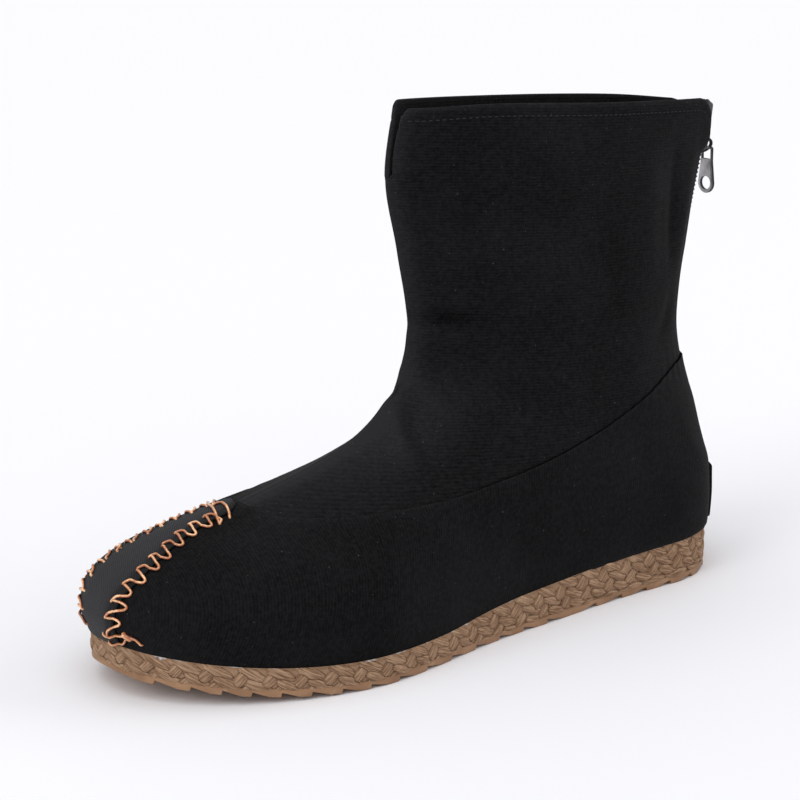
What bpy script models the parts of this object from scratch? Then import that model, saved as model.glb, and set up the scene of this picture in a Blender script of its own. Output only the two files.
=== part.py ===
"""Ankle-high cloth boot for the left foot.

A braided jute sole with a saw-toothed outsole carries a canvas foot and a shaft of two canvas panels.
A strip lies over the toe, and a zip with a hinged pull tab closes the back.
"""
import math

import bmesh
import bpy
import numpy as np
from mathutils import Matrix

# Driving dimensions in millimetres: X runs from heel to toe, Y to the outer side, Z up from the floor
MM = 0.001
GAP = 0.3
LENGTH = 268.0
TOE_SWING, SWING_FROM = 8.0, 120.0
TOE_SPRING, SPRING_FROM = 7.8, 185.0
INNER_WAIST, INNER_BALL = 0.92, 0.96
WAIST_FROM, WAIST_RUN, BALL_FROM, BALL_RUN = 0.2, 0.28, 0.43, 0.3
FINE, SEARCH, HALVINGS, SHARP_DEGREES = 600, 161, 40, 40

# Sole: half widths of the outer side, and its height at places along the foot
SOLE_HEEL, SOLE_WAIST, SOLE_BALL = 33.3, 38.3, 51.0
SOLE_BACK_ROUND, SOLE_FRONT_ROUND, ROUND_POWER, SOLE_TIP = 0.13, 0.305, 0.5, 2.5
SOLE_HEIGHT = {"x": (0, 40, 80, 110, 135, 160, 200, 270),
               "height": (18.2, 17.2, 15.7, 14.1, 12.1, 10.3, 10.1, 10.6)}
OUTSOLE, OUTSOLE_INSET = 4.4, 1.0
END_STATIONS, HEEL_CURVE, TOE_CURVE, CLOSEST = 60, 32.0, 72.0, 0.4
TOOTH_MARKS = (-1.5, 11.5, 24.3, 37, 49.7, 63, 77, 91, 104.8, 117.3, 130.2, 143, 156.5, 170, 183.5, 195.8,
               206.6, 217.4, 227.4, 236.5, 245, 253.2, 261.4, 270)
TOOTH_TURN, TOOTH_DEPTH, TOOTH_LAND, TOOTH_STEP = 91.0, 2.0, 0.42, 0.05
BRAID_PITCH, BRAID_COLUMNS = 12.0, 4
BRAID = {"level": (0.0, 0.17, 0.36, 0.5, 0.64, 0.83, 1.0),
         "bulge": (-0.4, 1.3, 0.0, 1.3, 0.0, 1.3, -0.4),
         "shift": (0, 0, 0, 2, 0, 0, 0)}
INSOLE, INSOLE_INSET, INSOLE_STATIONS = 3.0, 1.2, 26
INSOLE_REAR, INSOLE_FRONT = 0.16, 0.12

# Upper and shaft: a row for each level section of the form
WALL, SLIT, PANEL_STEP, STEP_FROM, STEP_RUN, BACK_FADE = 2.0, 0.4, 0.7, 0.6, 0.3, 9
FORM_COLUMNS = ("z", "back", "front", "heel", "waist", "ball",
                "back_round", "front_round", "back_power", "front_power", "back_tip", "front_tip")
FORM_ROWS = (
    (10, 2.0, 263.0, 32.3, 36.3, 49.0, 0.13, 0.28, 0.50, 0.50, 4.0, 3.0),
    (20, 0.4, 267.5, 33.5, 36.6, 49.8, 0.13, 0.28, 0.50, 0.50, 4.0, 3.0),
    (28, 0.2, 270.0, 34.0, 36.0, 49.0, 0.13, 0.28, 0.50, 0.50, 4.2, 3.0),
    (36, 0.2, 268.5, 34.0, 36.0, 46.5, 0.14, 0.29, 0.50, 0.50, 4.6, 3.0),
    (43, 0.4, 261.0, 33.5, 35.5, 42.5, 0.15, 0.31, 0.52, 0.52, 5.0, 2.5),
    (50, 0.9, 243.0, 32.5, 35.0, 37.0, 0.18, 0.35, 0.60, 0.60, 5.2, 2.0),
    (58, 2.0, 213.0, 31.5, 34.0, 31.0, 0.22, 0.40, 0.68, 0.75, 5.2, 1.5),
    (66, 3.8, 184.5, 30.5, 32.5, 28.0, 0.26, 0.44, 0.72, 0.86, 5.2, 1.2),
    (74, 6.6, 164.5, 29.0, 31.0, 26.5, 0.30, 0.48, 0.74, 0.90, 5.2, 1.0),
    (84, 9.8, 152.0, 28.0, 29.5, 26.0, 0.34, 0.50, 0.74, 0.90, 5.2, 1.0),
    (98, 11.8, 143.0, 26.5, 27.5, 24.5, 0.38, 0.50, 0.74, 0.90, 5.2, 1.0),
    (112, 10.3, 141.0, 24.5, 25.5, 23.0, 0.41, 0.50, 0.75, 0.90, 5.2, 1.0),
    (140, 4.0, 145.5, 20.5, 21.5, 19.5, 0.46, 0.50, 0.78, 0.88, 5.2, 1.0),
    (167, -2.2, 150.5, 17.5, 19.0, 17.0, 0.50, 0.50, 0.80, 0.85, 5.2, 1.2),
    (194, -6.0, 145.0, 15.0, 16.5, 15.0, 0.50, 0.50, 0.80, 0.85, 5.2, 3.2),
)
FORM = dict(zip(FORM_COLUMNS, np.array(FORM_ROWS, float).T))
RIM_REAR, RIM_FRONT, NOTCH_BOTTOM = 183.0, 193.7, 167.0
SEAM = {"share": (0, 0.1, 0.16, 0.28, 0.42, 0.55, 0.68, 0.80, 0.92, 1.0),
        "z": (84.2, 84, 82.2, 75.8, 67, 59, 55.4, 54.7, 55.4, 58)}
UPPER_BELOW, UPPER_ABOVE = (0, 0.08, 0.2), (0.55, 0.7, 0.84, 0.94, 1)
SHAFT_BELOW = (0, 0.03, 0.065, 0.105, 0.15, 0.2, 0.25, 0.31, 0.4, 0.52, 0.66)
SHAFT_ABOVE = (0.91, 1)
SIDE_COLUMNS, ROUNDS = 25, 5

# Strip over the toe: its middle and half width from the sole to its rounded top end
STRIP = {"share": (0, 0.15, 0.3, 0.39, 0.52, 0.66, 0.75, 1.0),
         "middle": (-1.0, -0.6, 0.35, 0.0, -1.8, -3.6, -4.5, -4.4),
         "half": (9.5, 10.4, 11.8, 11.5, 10.2, 8.6, 7.7, 6.7)}
STRIP_TOP, STRIP_ROUND, STRIP_THICK, STRIP_LIFT = 57.6, 0.1, 1.5, 1.0
STRIP_ROWS, STRIP_END_ROWS, STRIP_END_TURN, STRIP_COLUMNS = 16, 6, 80, 9
STRIP_NEAR, STRIP_FAR = -2.0, 30.0
PATCH_TOP, PATCH_SHARE, PATCH_THICK = 38.5, 0.016, 1.3
PATCH_ROWS, PATCH_COLUMNS = 6, 5

# Zip at the centre back, with its slider and pull tab
ZIP_HALF, ZIP_ROWS, ZIP_CLEAR, ZIP_DROP = 3.3, 26, 0.4, 1.0
CHAIN_HALF, CHAIN_TOP_HALF, CHAIN_OUT, TAPE_IN, TAPE_THICK = 2.1, 1.7, 1.2, 1.5, 0.8
SLIDER_Z, SLIDER_HALF, SLIDER_TALL, SLIDER_THICK = 164.0, 4.2, 10.0, 3.0
SHIELD = {"half": (0.55, 1.0, 1.0, 0.6), "tall": (-1.0, -0.2, 0.9, 1.0)}
ARCH_OUT, ARCH_TALL, ARCH_WIRE, ARCH_HALF = 5.4, 8.4, 1.3, 1.3
PULL_LENGTH, PULL_HALF, PULL_THICK, PULL_BAR = 18.0, 4.1, 1.4, 1.3
NECK_HALF, EYE_HALF, EYE_TALL, HOLE_RADIUS, HOLE_UP = 2.95, 1.9, 5.0, 2.5, 4.1
AXIS_OUT, AXIS_DOWN = 1.7, 1.2
ARC_POINTS, HOLE_POINTS = 15, 16

# Finishes: colour, roughness and metallic value
CANVAS = ((0.012, 0.012, 0.013), 0.85, 0.0)
GUNMETAL = ((0.10, 0.11, 0.12), 0.35, 1.0)
FINISHES = {
    "outsole": ((0.36, 0.18, 0.075), 0.6, 0.0), "midsole": ((0.42, 0.23, 0.11), 0.85, 0.0),
    "insole": ((0.03, 0.03, 0.032), 0.9, 0.0), "upper": CANVAS, "shaft": CANVAS,
    "toe_strip": ((0.03, 0.03, 0.034), 0.85, 0.0), "heel_patch": CANVAS,
    "zip_chain": ((0.02, 0.02, 0.022), 0.5, 0.0), "zip_slider": GUNMETAL, "zip_pull": GUNMETAL,
}


def smooth(knots, values, at):
    """Monotone cubic through the values at the knots."""
    knots, values, at = (np.asarray(v, float) for v in (knots, values, at))
    step = np.diff(knots)
    slope = np.diff(values) / step
    left, right = slope[:-1], slope[1:]
    same = left * right > 0
    inner = np.where(same, 2 * left * right / np.where(same, left + right, 1.0), 0.0)
    tangent = np.concatenate([slope[:1], inner, slope[-1:]])
    k = np.clip(np.searchsorted(knots, at, side="right") - 1, 0, len(step) - 1)
    t = np.clip((at - knots[k]) / step[k], 0, 1)
    start = (1 + 2 * t) * (1 - t) ** 2 * values[k] + t * (1 - t) ** 2 * step[k] * tangent[k]
    return start + t * t * (3 - 2 * t) * values[k + 1] + t * t * (t - 1) * step[k] * tangent[k + 1]


def ease(t):
    t = np.clip(t, 0, 1)
    return t * t * (3 - 2 * t)


def rounded(share, reach, power):
    """0 at an end of a section, rising to 1 at the share `reach` along it."""
    return (1 - np.clip(1 - share / reach, 0, 1) ** 2) ** power


def side_widths(heel, waist, ball, side):
    """Half widths at heel, waist and ball, smaller on the inner side."""
    outer = np.asarray(side) > 0
    return heel, waist * np.where(outer, 1, INNER_WAIST), ball * np.where(outer, 1, INNER_BALL)


def along(share, heel, waist, ball):
    """Half width along the foot, easing from heel to waist to ball."""
    width = heel + (waist - heel) * ease((share - WAIST_FROM) / WAIST_RUN)
    return width + (ball - waist) * ease((share - BALL_FROM) / BALL_RUN)


def centre(x):
    """Centre line of the foot, which swings to the inner side at the toe."""
    return -TOE_SWING * np.clip((x - SWING_FROM) / (LENGTH - SWING_FROM), 0, None) ** 2


def spring(x):
    return TOE_SPRING * np.clip((x - SPRING_FROM) / (LENGTH - SPRING_FROM), 0, None) ** 2


def sole_top(x):
    return spring(x) + smooth(SOLE_HEIGHT["x"], SOLE_HEIGHT["height"], x)


def sole_half(x, side):
    share = np.clip(x / LENGTH, 0, 1)
    body = along(share, *side_widths(SOLE_HEEL, SOLE_WAIST, SOLE_BALL, side))
    rear = rounded(share, SOLE_BACK_ROUND, ROUND_POWER)
    fore = rounded(1 - share, SOLE_FRONT_ROUND, ROUND_POWER)
    return np.maximum(body * rear * fore, SOLE_TIP)


def form(column, z):
    return smooth(FORM["z"], FORM[column], z)


def half_width(x, z, side):
    """Half width of the upper's level section at height z."""
    back, front = form("back", z), form("front", z)
    share = np.clip((x - back) / (front - back), 0, 1)
    rear = rounded(share, form("back_round", z), form("back_power", z))
    fore = rounded(1 - share, form("front_round", z), form("front_power", z))
    body = along(share, *side_widths(form("heel", z), form("waist", z), form("ball", z), side))
    return body * rear * fore + form("back_tip", z) * (1 - rear) + form("front_tip", z) * (1 - fore)


def outside(side, share, z, grow=0.0):
    """Point of the upper's outer face, at a share from the back to the front of its section."""
    back, front = form("back", z), form("front", z)
    x = back + (front - back) * share
    y = centre(x) + side * (half_width(x, z, side) + grow)
    return np.stack(np.broadcast_arrays(x - grow * (1 - share) ** BACK_FADE, y, z), -1)


def inner_half(x, z, side):
    """Half width inside the wall, measured square to the outer face."""
    d = 0.25
    along_x = (half_width(x + d, z, side) - half_width(x - d, z, side)) / (2 * d)
    along_z = (half_width(x, z + d, side) - half_width(x, z - d, side)) / (2 * d)
    return half_width(x, z, side) - WALL * np.sqrt(1 + along_x ** 2 + along_z ** 2)


def inside(side, share, z):
    """Point of the inner face, between the ends where the wall still leaves room inside."""
    back, front = form("back", z), form("front", z)
    tries = np.linspace(0, 1, SEARCH)
    x = back[..., None] + (front - back)[..., None] * tries
    room = inner_half(x, z[..., None], side[..., None])
    rear_room, fore_room = ZIP_HALF + GAP, SLIT
    first = np.argmax(room > rear_room, axis=-1)
    last = len(tries) - 1 - np.argmax(room[..., ::-1] > fore_room, axis=-1)
    start = np.maximum(np.take_along_axis(x, first[..., None], -1)[..., 0], back + WALL)
    end = np.take_along_axis(x, last[..., None], -1)[..., 0]
    place = start + (end - start) * share
    least = rear_room + (fore_room - rear_room) * ease(share)
    y = centre(place) + side * np.maximum(inner_half(place, z, side), least)
    return np.stack([place, y, z], -1)


def seam(share):
    return smooth(SEAM["share"], SEAM["z"], share)


def rim(share):
    return RIM_REAR + (RIM_FRONT - RIM_REAR) * share


def feather(side, share):
    """Height at which the upper's foot meets the sole, found by stepping to and fro."""
    z = np.full(len(share), float(SOLE_HEIGHT["height"][0]))
    for _ in range(ROUNDS):
        z = sole_top(outside(side, share, z)[:, 0]) + GAP
    return z


def section_columns():
    """Sides and shares of the columns: the outer side back to front, then the inner side front to back."""
    share = (1 - np.cos(np.linspace(0, math.pi, SIDE_COLUMNS))) / 2
    ones = np.ones(SIDE_COLUMNS)
    return np.concatenate([ones, -ones]), np.concatenate([share, share[::-1]])


def hemmed(grid, x):
    """The grid with a column added at each side of the zip's slot."""
    lateral, medial = grid[:, :1].copy(), grid[:, -1:].copy()
    for column, y in ((lateral, ZIP_HALF), (medial, -ZIP_HALF)):
        column[..., 0] = x[:, :1]
        column[..., 1] = y
    return np.concatenate([lateral, grid, medial], axis=1)


def new_object(name, points, faces):
    mesh = bpy.data.meshes.new(name)
    mesh.from_pydata([tuple(p) for p in np.asarray(points, float) * MM], [], faces)
    bm = bmesh.new()
    bm.from_mesh(mesh)
    bmesh.ops.delete(bm, geom=[v for v in bm.verts if not v.link_faces], context="VERTS")
    bmesh.ops.recalc_face_normals(bm, faces=bm.faces)
    bm.to_mesh(mesh)
    bm.free()
    mesh.shade_smooth()
    mesh.set_sharp_from_angle(angle=math.radians(SHARP_DEGREES))
    obj = bpy.data.objects.new(name, mesh)
    bpy.context.collection.objects.link(obj)
    return obj


def shell(name, outer, inner, filled):
    """Closed wall between two grids of points, with a face wherever `filled` marks the cell.

    The last column of cells runs from the last column of points back to the first.
    """
    rows, columns = outer.shape[:2]
    faces = []

    def corner(layer, i, j):
        return layer * rows * columns + i * columns + j % columns

    def full(i, j):
        return 0 <= i < rows - 1 and filled[i, j % columns]

    for i in range(rows - 1):
        for j in range(columns):
            if not full(i, j):
                continue
            ring = ((i, j), (i, j + 1), (i + 1, j + 1), (i + 1, j))
            faces.append([corner(0, *c) for c in ring])
            faces.append([corner(1, *c) for c in reversed(ring)])
            beside = (full(i - 1, j), full(i, j + 1), full(i + 1, j), full(i, j - 1))
            for k, neighbour in enumerate(beside):
                if not neighbour:
                    a, b = ring[k], ring[(k + 1) % 4]
                    faces.append([corner(0, *b), corner(0, *a), corner(1, *a), corner(1, *b)])
    return new_object(name, np.concatenate([outer.reshape(-1, 3), inner.reshape(-1, 3)]), faces)


def loft(name, rings):
    """Closed solid through a row of rings with as many points each."""
    count, size = rings.shape[:2]
    faces = [list(range(size)), [(count - 1) * size + k for k in range(size)]]
    for i in range(count - 1):
        for k in range(size):
            n = (k + 1) % size
            faces.append([i * size + k, i * size + n, (i + 1) * size + n, (i + 1) * size + k])
    return new_object(name, rings.reshape(-1, 3), faces)


def raised(name, grid, thick):
    """Overlay of the given thickness, standing a gap clear of the grid of points under it."""
    across, down = np.gradient(grid, axis=1), np.gradient(grid, axis=0)
    normal = np.cross(across, down)
    normal /= np.linalg.norm(normal, axis=-1, keepdims=True)
    middle = grid.shape[0] // 2, grid.shape[1] // 2
    inward = np.array([LENGTH / 2, 0.0, 0.0]) - grid[middle]
    if np.dot(normal[middle], inward) > 0:
        normal = -normal
    filled = np.ones((len(grid) - 1, grid.shape[1]), bool)
    filled[:, -1] = False
    return shell(name, grid + normal * (GAP + thick), grid + normal * GAP, filled)


def end_stations(count):
    """Places along the sole, close together round the heel and the toe."""
    return LENGTH * (1 - np.cos(np.linspace(0, math.pi, count))) / 2


def tread(x):
    """Height of the tread above the sole's bottom: teeth that step up at their end away from the turn."""
    u = np.mod(np.interp(x, TOOTH_MARKS, range(len(TOOTH_MARKS))), 1)
    u = np.where(x < TOOTH_TURN, 1 - u, u)
    rise = np.clip((u - TOOTH_LAND) / (1 - TOOTH_LAND - TOOTH_STEP), 0, 1)
    return TOOTH_DEPTH * np.where(u > 1 - TOOTH_STEP, (1 - u) / TOOTH_STEP, rise)


def outsole():
    starts, pitch = np.array(TOOTH_MARKS[:-1]), np.diff(TOOTH_MARKS)
    ahead = np.concatenate([starts + pitch * u for u in (0, TOOTH_LAND, 1 - TOOTH_STEP)])
    behind = np.concatenate([starts + pitch * u for u in (0, TOOTH_STEP, 1 - TOOTH_LAND)])
    x = np.concatenate([ahead[ahead >= TOOTH_TURN], behind[behind < TOOTH_TURN]])
    ends = end_stations(END_STATIONS)
    ends = ends[(ends < HEEL_CURVE) | (ends > LENGTH - TOE_CURVE)]
    x = np.unique(np.round(np.concatenate([x[(x > 0) & (x < LENGTH)], ends]), 2))
    x = x[np.concatenate([[True], np.diff(x) > CLOSEST])]
    low = spring(x) + tread(x)
    high = spring(x) + OUTSOLE
    ring = []
    for side, z, inset in ((1, high, 0), (1, low, OUTSOLE_INSET), (-1, low, OUTSOLE_INSET), (-1, high, 0)):
        width = np.maximum(sole_half(x, side) - inset, SOLE_TIP - OUTSOLE_INSET)
        ring.append(np.stack([x, centre(x) + side * width, z], -1))
    return loft("outsole", np.stack(ring, axis=1))


def midsole():
    fine = end_stations(FINE)
    edge = np.stack([fine, centre(fine) + sole_half(fine, 1)], -1)
    run = np.concatenate([[0], np.cumsum(np.linalg.norm(np.diff(edge, axis=0), axis=1))])
    columns = int(round(run[-1] / BRAID_PITCH)) * BRAID_COLUMNS + 1
    x = np.interp(np.linspace(0, run[-1], columns), run, fine)
    strand = np.abs(np.sin(math.pi * np.arange(columns) / BRAID_COLUMNS))
    low, high = spring(x) + OUTSOLE + GAP, sole_top(x)
    lateral, medial = [], []
    for level, bulge, shift in zip(BRAID["level"], BRAID["bulge"], BRAID["shift"]):
        grow = bulge * np.roll(strand, shift) if bulge > 0 else np.full(columns, bulge)
        grow[[0, -1]] = 0
        z = low + (high - low) * level
        for rows, side in ((lateral, 1), (medial, -1)):
            width = np.maximum(sole_half(x, side) + grow, SOLE_TIP)
            rows.append(np.stack([x, centre(x) + side * width, z], -1))
    return loft("midsole", np.stack(lateral + medial[::-1], axis=1))


def insole():
    turn = np.linspace(INSOLE_REAR, math.pi - INSOLE_FRONT, INSOLE_STATIONS)
    share = (1 - np.cos(turn)) / 2
    ring = []
    for side, lift in ((1, INSOLE), (1, 0), (-1, 0), (-1, INSOLE)):
        sides = np.full(len(share), side)
        z = feather(sides, share)
        place = inside(sides, share, z)
        place[:, 1] -= side * INSOLE_INSET
        place[:, 2] += lift
        ring.append(place)
    return loft("insole", np.stack(ring, axis=1))


def panel(name, low, high, levels, grow, open_back, open_front):
    """Wall between two heights, open at the centre back and centre front above the given levels."""
    side, share = section_columns()
    z = low + (high - low) * np.array(levels)[:, None]
    sides, shares = np.broadcast_to(side, z.shape), np.broadcast_to(share, z.shape)
    outer, inner = outside(sides, shares, z, grow), inside(sides, shares, z)
    outer, inner = hemmed(outer, outer[..., 0]), hemmed(inner, outer[..., 0] + WALL)
    filled = np.ones((len(levels) - 1, outer.shape[1]), bool)
    filled[:, -1] = np.array(levels[1:]) <= open_back
    filled[:, SIDE_COLUMNS] = np.array(levels[1:]) <= open_front
    return shell(name, outer, inner, filled)


def upper():
    side, share = section_columns()
    low, high = feather(side, share), seam(share) - GAP / 2
    slot = (PATCH_TOP - low[0]) / (high[0] - low[0])
    levels = (*UPPER_BELOW, slot, *UPPER_ABOVE)
    step = PANEL_STEP * (1 - ease((share - STEP_FROM) / STEP_RUN))
    return panel("upper", low, high, levels, step, slot, 1)


def shaft():
    share = section_columns()[1]
    low, high = seam(share) + GAP / 2, rim(share)
    bottom = seam(1.0) + GAP / 2
    notch = float((NOTCH_BOTTOM - bottom) / (rim(1.0) - bottom))
    return panel("shaft", low, high, (*SHAFT_BELOW, notch, *SHAFT_ABOVE), 0.0, 0, notch)


def strip_grid():
    """Points under the toe strip: rows square to the toe's centre line, found on the upper's outer face.

    The last rows close in on a half circle, the strip's rounded end.
    """
    z = np.linspace(float(sole_top(LENGTH)) + STRIP_LIFT, STRIP_TOP, FINE)
    line = np.stack([form("front", z), z], -1)
    run = np.concatenate([[0], np.cumsum(np.linalg.norm(np.diff(line, axis=0), axis=1))])
    turn = np.radians(np.linspace(0, STRIP_END_TURN, STRIP_END_ROWS + 1))[1:]
    share = np.concatenate([np.linspace(0, 1 - STRIP_ROUND, STRIP_ROWS),
                            1 - STRIP_ROUND * (1 - np.sin(turn))])
    base = np.stack([np.interp(share * run[-1], run, line[:, k]) for k in (0, 1)], -1)
    tangent = np.gradient(base, share, axis=0)
    tangent /= np.linalg.norm(tangent, axis=1, keepdims=True)
    normal = np.stack([tangent[:, 1], -tangent[:, 0]], -1)
    cap = np.concatenate([np.ones(STRIP_ROWS), np.cos(turn)])
    half = smooth(STRIP["share"], STRIP["half"], share) * cap
    across = np.linspace(-1, 1, STRIP_COLUMNS)
    offset = smooth(STRIP["share"], STRIP["middle"], share)[:, None] + half[:, None] * across
    side = np.where(offset >= 0, 1, -1)
    near, far = np.full(offset.shape, STRIP_NEAR), np.full(offset.shape, STRIP_FAR)
    for _ in range(HALVINGS):
        depth = (near + far) / 2
        x = base[:, :1] - normal[:, :1] * depth
        z = base[:, 1:] - normal[:, 1:] * depth
        within = (np.abs(offset) < half_width(x, z, side)) & (x < form("front", z))
        near, far = np.where(within, near, depth), np.where(within, depth, far)
    return np.stack([x, centre(base[:, :1]) + offset, z], -1)


def patch_grid():
    """Points under the heel patch: level rows round the back of the heel."""
    share = PATCH_SHARE * np.linspace(0, 1, PATCH_COLUMNS) ** 2
    side = np.concatenate([np.ones(PATCH_COLUMNS), -np.ones(PATCH_COLUMNS)])
    share = np.concatenate([share[::-1], share])
    low = feather(side, share) + GAP
    z = low + (PATCH_TOP - low) * np.linspace(0, 1, PATCH_ROWS)[:, None]
    return outside(np.broadcast_to(side, z.shape), np.broadcast_to(share, z.shape), z, PANEL_STEP)


def zip_chain():
    z = np.linspace(PATCH_TOP + 2 * GAP, RIM_REAR - ZIP_DROP, ZIP_ROWS)
    back = form("back", z)
    half = ZIP_HALF - ZIP_CLEAR
    outline = ((TAPE_IN, half), (TAPE_IN - TAPE_THICK, half), (TAPE_IN - TAPE_THICK, CHAIN_HALF),
               (-CHAIN_OUT, CHAIN_TOP_HALF), (-CHAIN_OUT, -CHAIN_TOP_HALF),
               (TAPE_IN - TAPE_THICK, -CHAIN_HALF), (TAPE_IN - TAPE_THICK, -half), (TAPE_IN, -half))
    rings = [np.stack([back + x, np.full(len(z), y), z], -1) for x, y in outline]
    return loft("zip_chain", np.stack(rings, axis=1))


def plate(name, outlines, thick):
    """Flat plate with holes: closed outlines drawn level, with half the thickness each way."""
    curve = bpy.data.curves.new(name, "CURVE")
    curve.dimensions = "2D"
    curve.fill_mode = "BOTH"
    curve.extrude = thick / 2 * MM
    for outline in outlines:
        spline = curve.splines.new("POLY")
        spline.points.add(len(outline) - 1)
        spline.points.foreach_set("co", np.array([(u * MM, v * MM, 0, 1) for u, v in outline]).ravel())
        spline.use_cyclic_u = True
    obj = bpy.data.objects.new(name, curve)
    bpy.context.collection.objects.link(obj)
    return obj


def arc(middle, radius, start, end, count):
    """Points on an arc or a part of an ellipse, by angle in degrees from the first axis."""
    turn = np.radians(np.linspace(start, end, count))
    radii = np.broadcast_to(radius, 2)
    return [(middle[0] + radii[0] * math.cos(a), middle[1] + radii[1] * math.sin(a)) for a in turn]


def slider_face():
    """X of the slider's face towards the chain, which slopes to the rear as it rises."""
    return float(form("back", SLIDER_Z + SLIDER_TALL / 2)) - CHAIN_OUT - GAP


def zip_slider():
    face = slider_face()
    right = [(SLIDER_HALF * u, SLIDER_TALL / 2 * v) for u, v in zip(SHIELD["half"], SHIELD["tall"])]
    shield = right + [(-u, v) for u, v in reversed(right)]
    body = plate("shield", [shield], SLIDER_THICK)
    body.matrix_world = upright((face - SLIDER_THICK / 2, 0, SLIDER_Z))
    reach = ARCH_OUT + SLIDER_THICK / 2
    outer = arc((0, 0), (reach, ARCH_TALL / 2), -90, 90, ARC_POINTS)
    sunk = SLIDER_THICK / 4
    opening = (reach - sunk - ARCH_WIRE, ARCH_TALL / 2 - ARCH_WIRE)
    inner = arc((sunk, 0), opening, -90, 90, ARC_POINTS)
    bail = plate("bail", [outer, inner], 2 * ARCH_HALF)
    turn = Matrix.Rotation(math.radians(90), 4, "X") @ Matrix.Scale(-1, 4, (1, 0, 0))
    bail.matrix_world = Matrix.Translation(np.array((face - SLIDER_THICK / 2, 0, SLIDER_Z)) * MM) @ turn
    return joined("zip_slider", body, bail)


def meshed(obj):
    """Mesh of a curve plate where it stands, closed at its rims. The curve object is removed."""
    bpy.context.view_layer.update()
    mesh = bpy.data.meshes.new_from_object(obj.evaluated_get(bpy.context.evaluated_depsgraph_get()))
    mesh.transform(obj.matrix_world)
    bpy.data.objects.remove(obj)
    bm = bmesh.new()
    bm.from_mesh(mesh)
    bmesh.ops.remove_doubles(bm, verts=bm.verts, dist=1e-6)
    bmesh.ops.recalc_face_normals(bm, faces=bm.faces)
    bm.to_mesh(mesh)
    bm.free()
    return mesh


def joined(name, first, second):
    """Boolean union of two curve plates."""
    body, other = (bpy.data.objects.new(name, meshed(obj)) for obj in (first, second))
    for obj in (body, other):
        bpy.context.collection.objects.link(obj)
    other.parent = body
    other.hide_render = True
    other.display_type = "WIRE"
    union = body.modifiers.new("union", "BOOLEAN")
    union.operation = "UNION"
    union.object = other
    return body


def upright(place):
    """Stands a plate drawn level on its edge, facing the rear, at the given place."""
    turn = Matrix.Rotation(math.radians(90), 4, "Z") @ Matrix.Rotation(math.radians(90), 4, "X")
    return Matrix.Translation(np.array(place) * MM) @ turn


def pull_axis():
    """Hinge axis of the pull tab: a line along Y through the slider's bail."""
    return slider_face() - SLIDER_THICK - AXIS_OUT, 0.0, SLIDER_Z - AXIS_DOWN


def zip_pull():
    top, low = PULL_BAR / 2, -PULL_LENGTH + PULL_BAR / 2
    outline = arc((0, low + PULL_HALF), PULL_HALF, 180, 360, ARC_POINTS)
    outline += [(NECK_HALF, -EYE_TALL), (NECK_HALF, top), (-NECK_HALF, top), (-NECK_HALF, -EYE_TALL)]
    eye = [(-EYE_HALF, -top), (EYE_HALF, -top), (EYE_HALF, -EYE_TALL), (-EYE_HALF, -EYE_TALL)]
    hole = arc((0, low + HOLE_UP), HOLE_RADIUS, 0, 360, HOLE_POINTS + 1)[:-1]
    pull = plate("zip_pull", [outline, eye, hole], PULL_THICK)
    pull.matrix_world = upright(pull_axis())
    return pull


def painted(obj):
    """Gives an object its own material: colour, roughness and metallic value."""
    colour, roughness, metallic = FINISHES[obj.name]
    material = bpy.data.materials.new(obj.name)
    material.use_nodes = True
    shader = material.node_tree.nodes["Principled BSDF"]
    shader.inputs["Base Color"].default_value = (*colour, 1)
    shader.inputs["Roughness"].default_value = roughness
    shader.inputs["Metallic"].default_value = metallic
    obj.data.materials.append(material)


def stand(pieces):
    """Parents the pieces to one empty that puts the middle of their floor box at the origin."""
    bpy.context.view_layer.update()
    graph = bpy.context.evaluated_depsgraph_get()
    corners = []
    for piece in pieces:
        ready = piece.evaluated_get(graph)
        corners += [ready.matrix_world @ v.co for v in ready.to_mesh().vertices]
    corners = np.array(corners)
    low, high = corners.min(axis=0), corners.max(axis=0)
    boot = bpy.data.objects.new("boot", None)
    bpy.context.collection.objects.link(boot)
    for piece in pieces:
        piece.parent = boot
    boot.location = (-(low[0] + high[0]) / 2, -(low[1] + high[1]) / 2, -low[2])


for old in list(bpy.data.objects):
    bpy.data.objects.remove(old)

parts = [outsole(), midsole(), insole(), upper(), shaft(), raised("toe_strip", strip_grid(), STRIP_THICK),
         raised("heel_patch", patch_grid(), PATCH_THICK), zip_chain(), zip_slider(), zip_pull()]
for part in parts:
    painted(part)
stand(parts)
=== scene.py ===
"""Looks of an ankle-high cloth boot for the left foot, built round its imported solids.

The shapes are worked out in the boot's own millimetres: X runs from the heel's rear to the toe, Y to the
outer side and Z up from the floor. new_piece() puts them into the frame, in metres.
"""
import math

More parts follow.
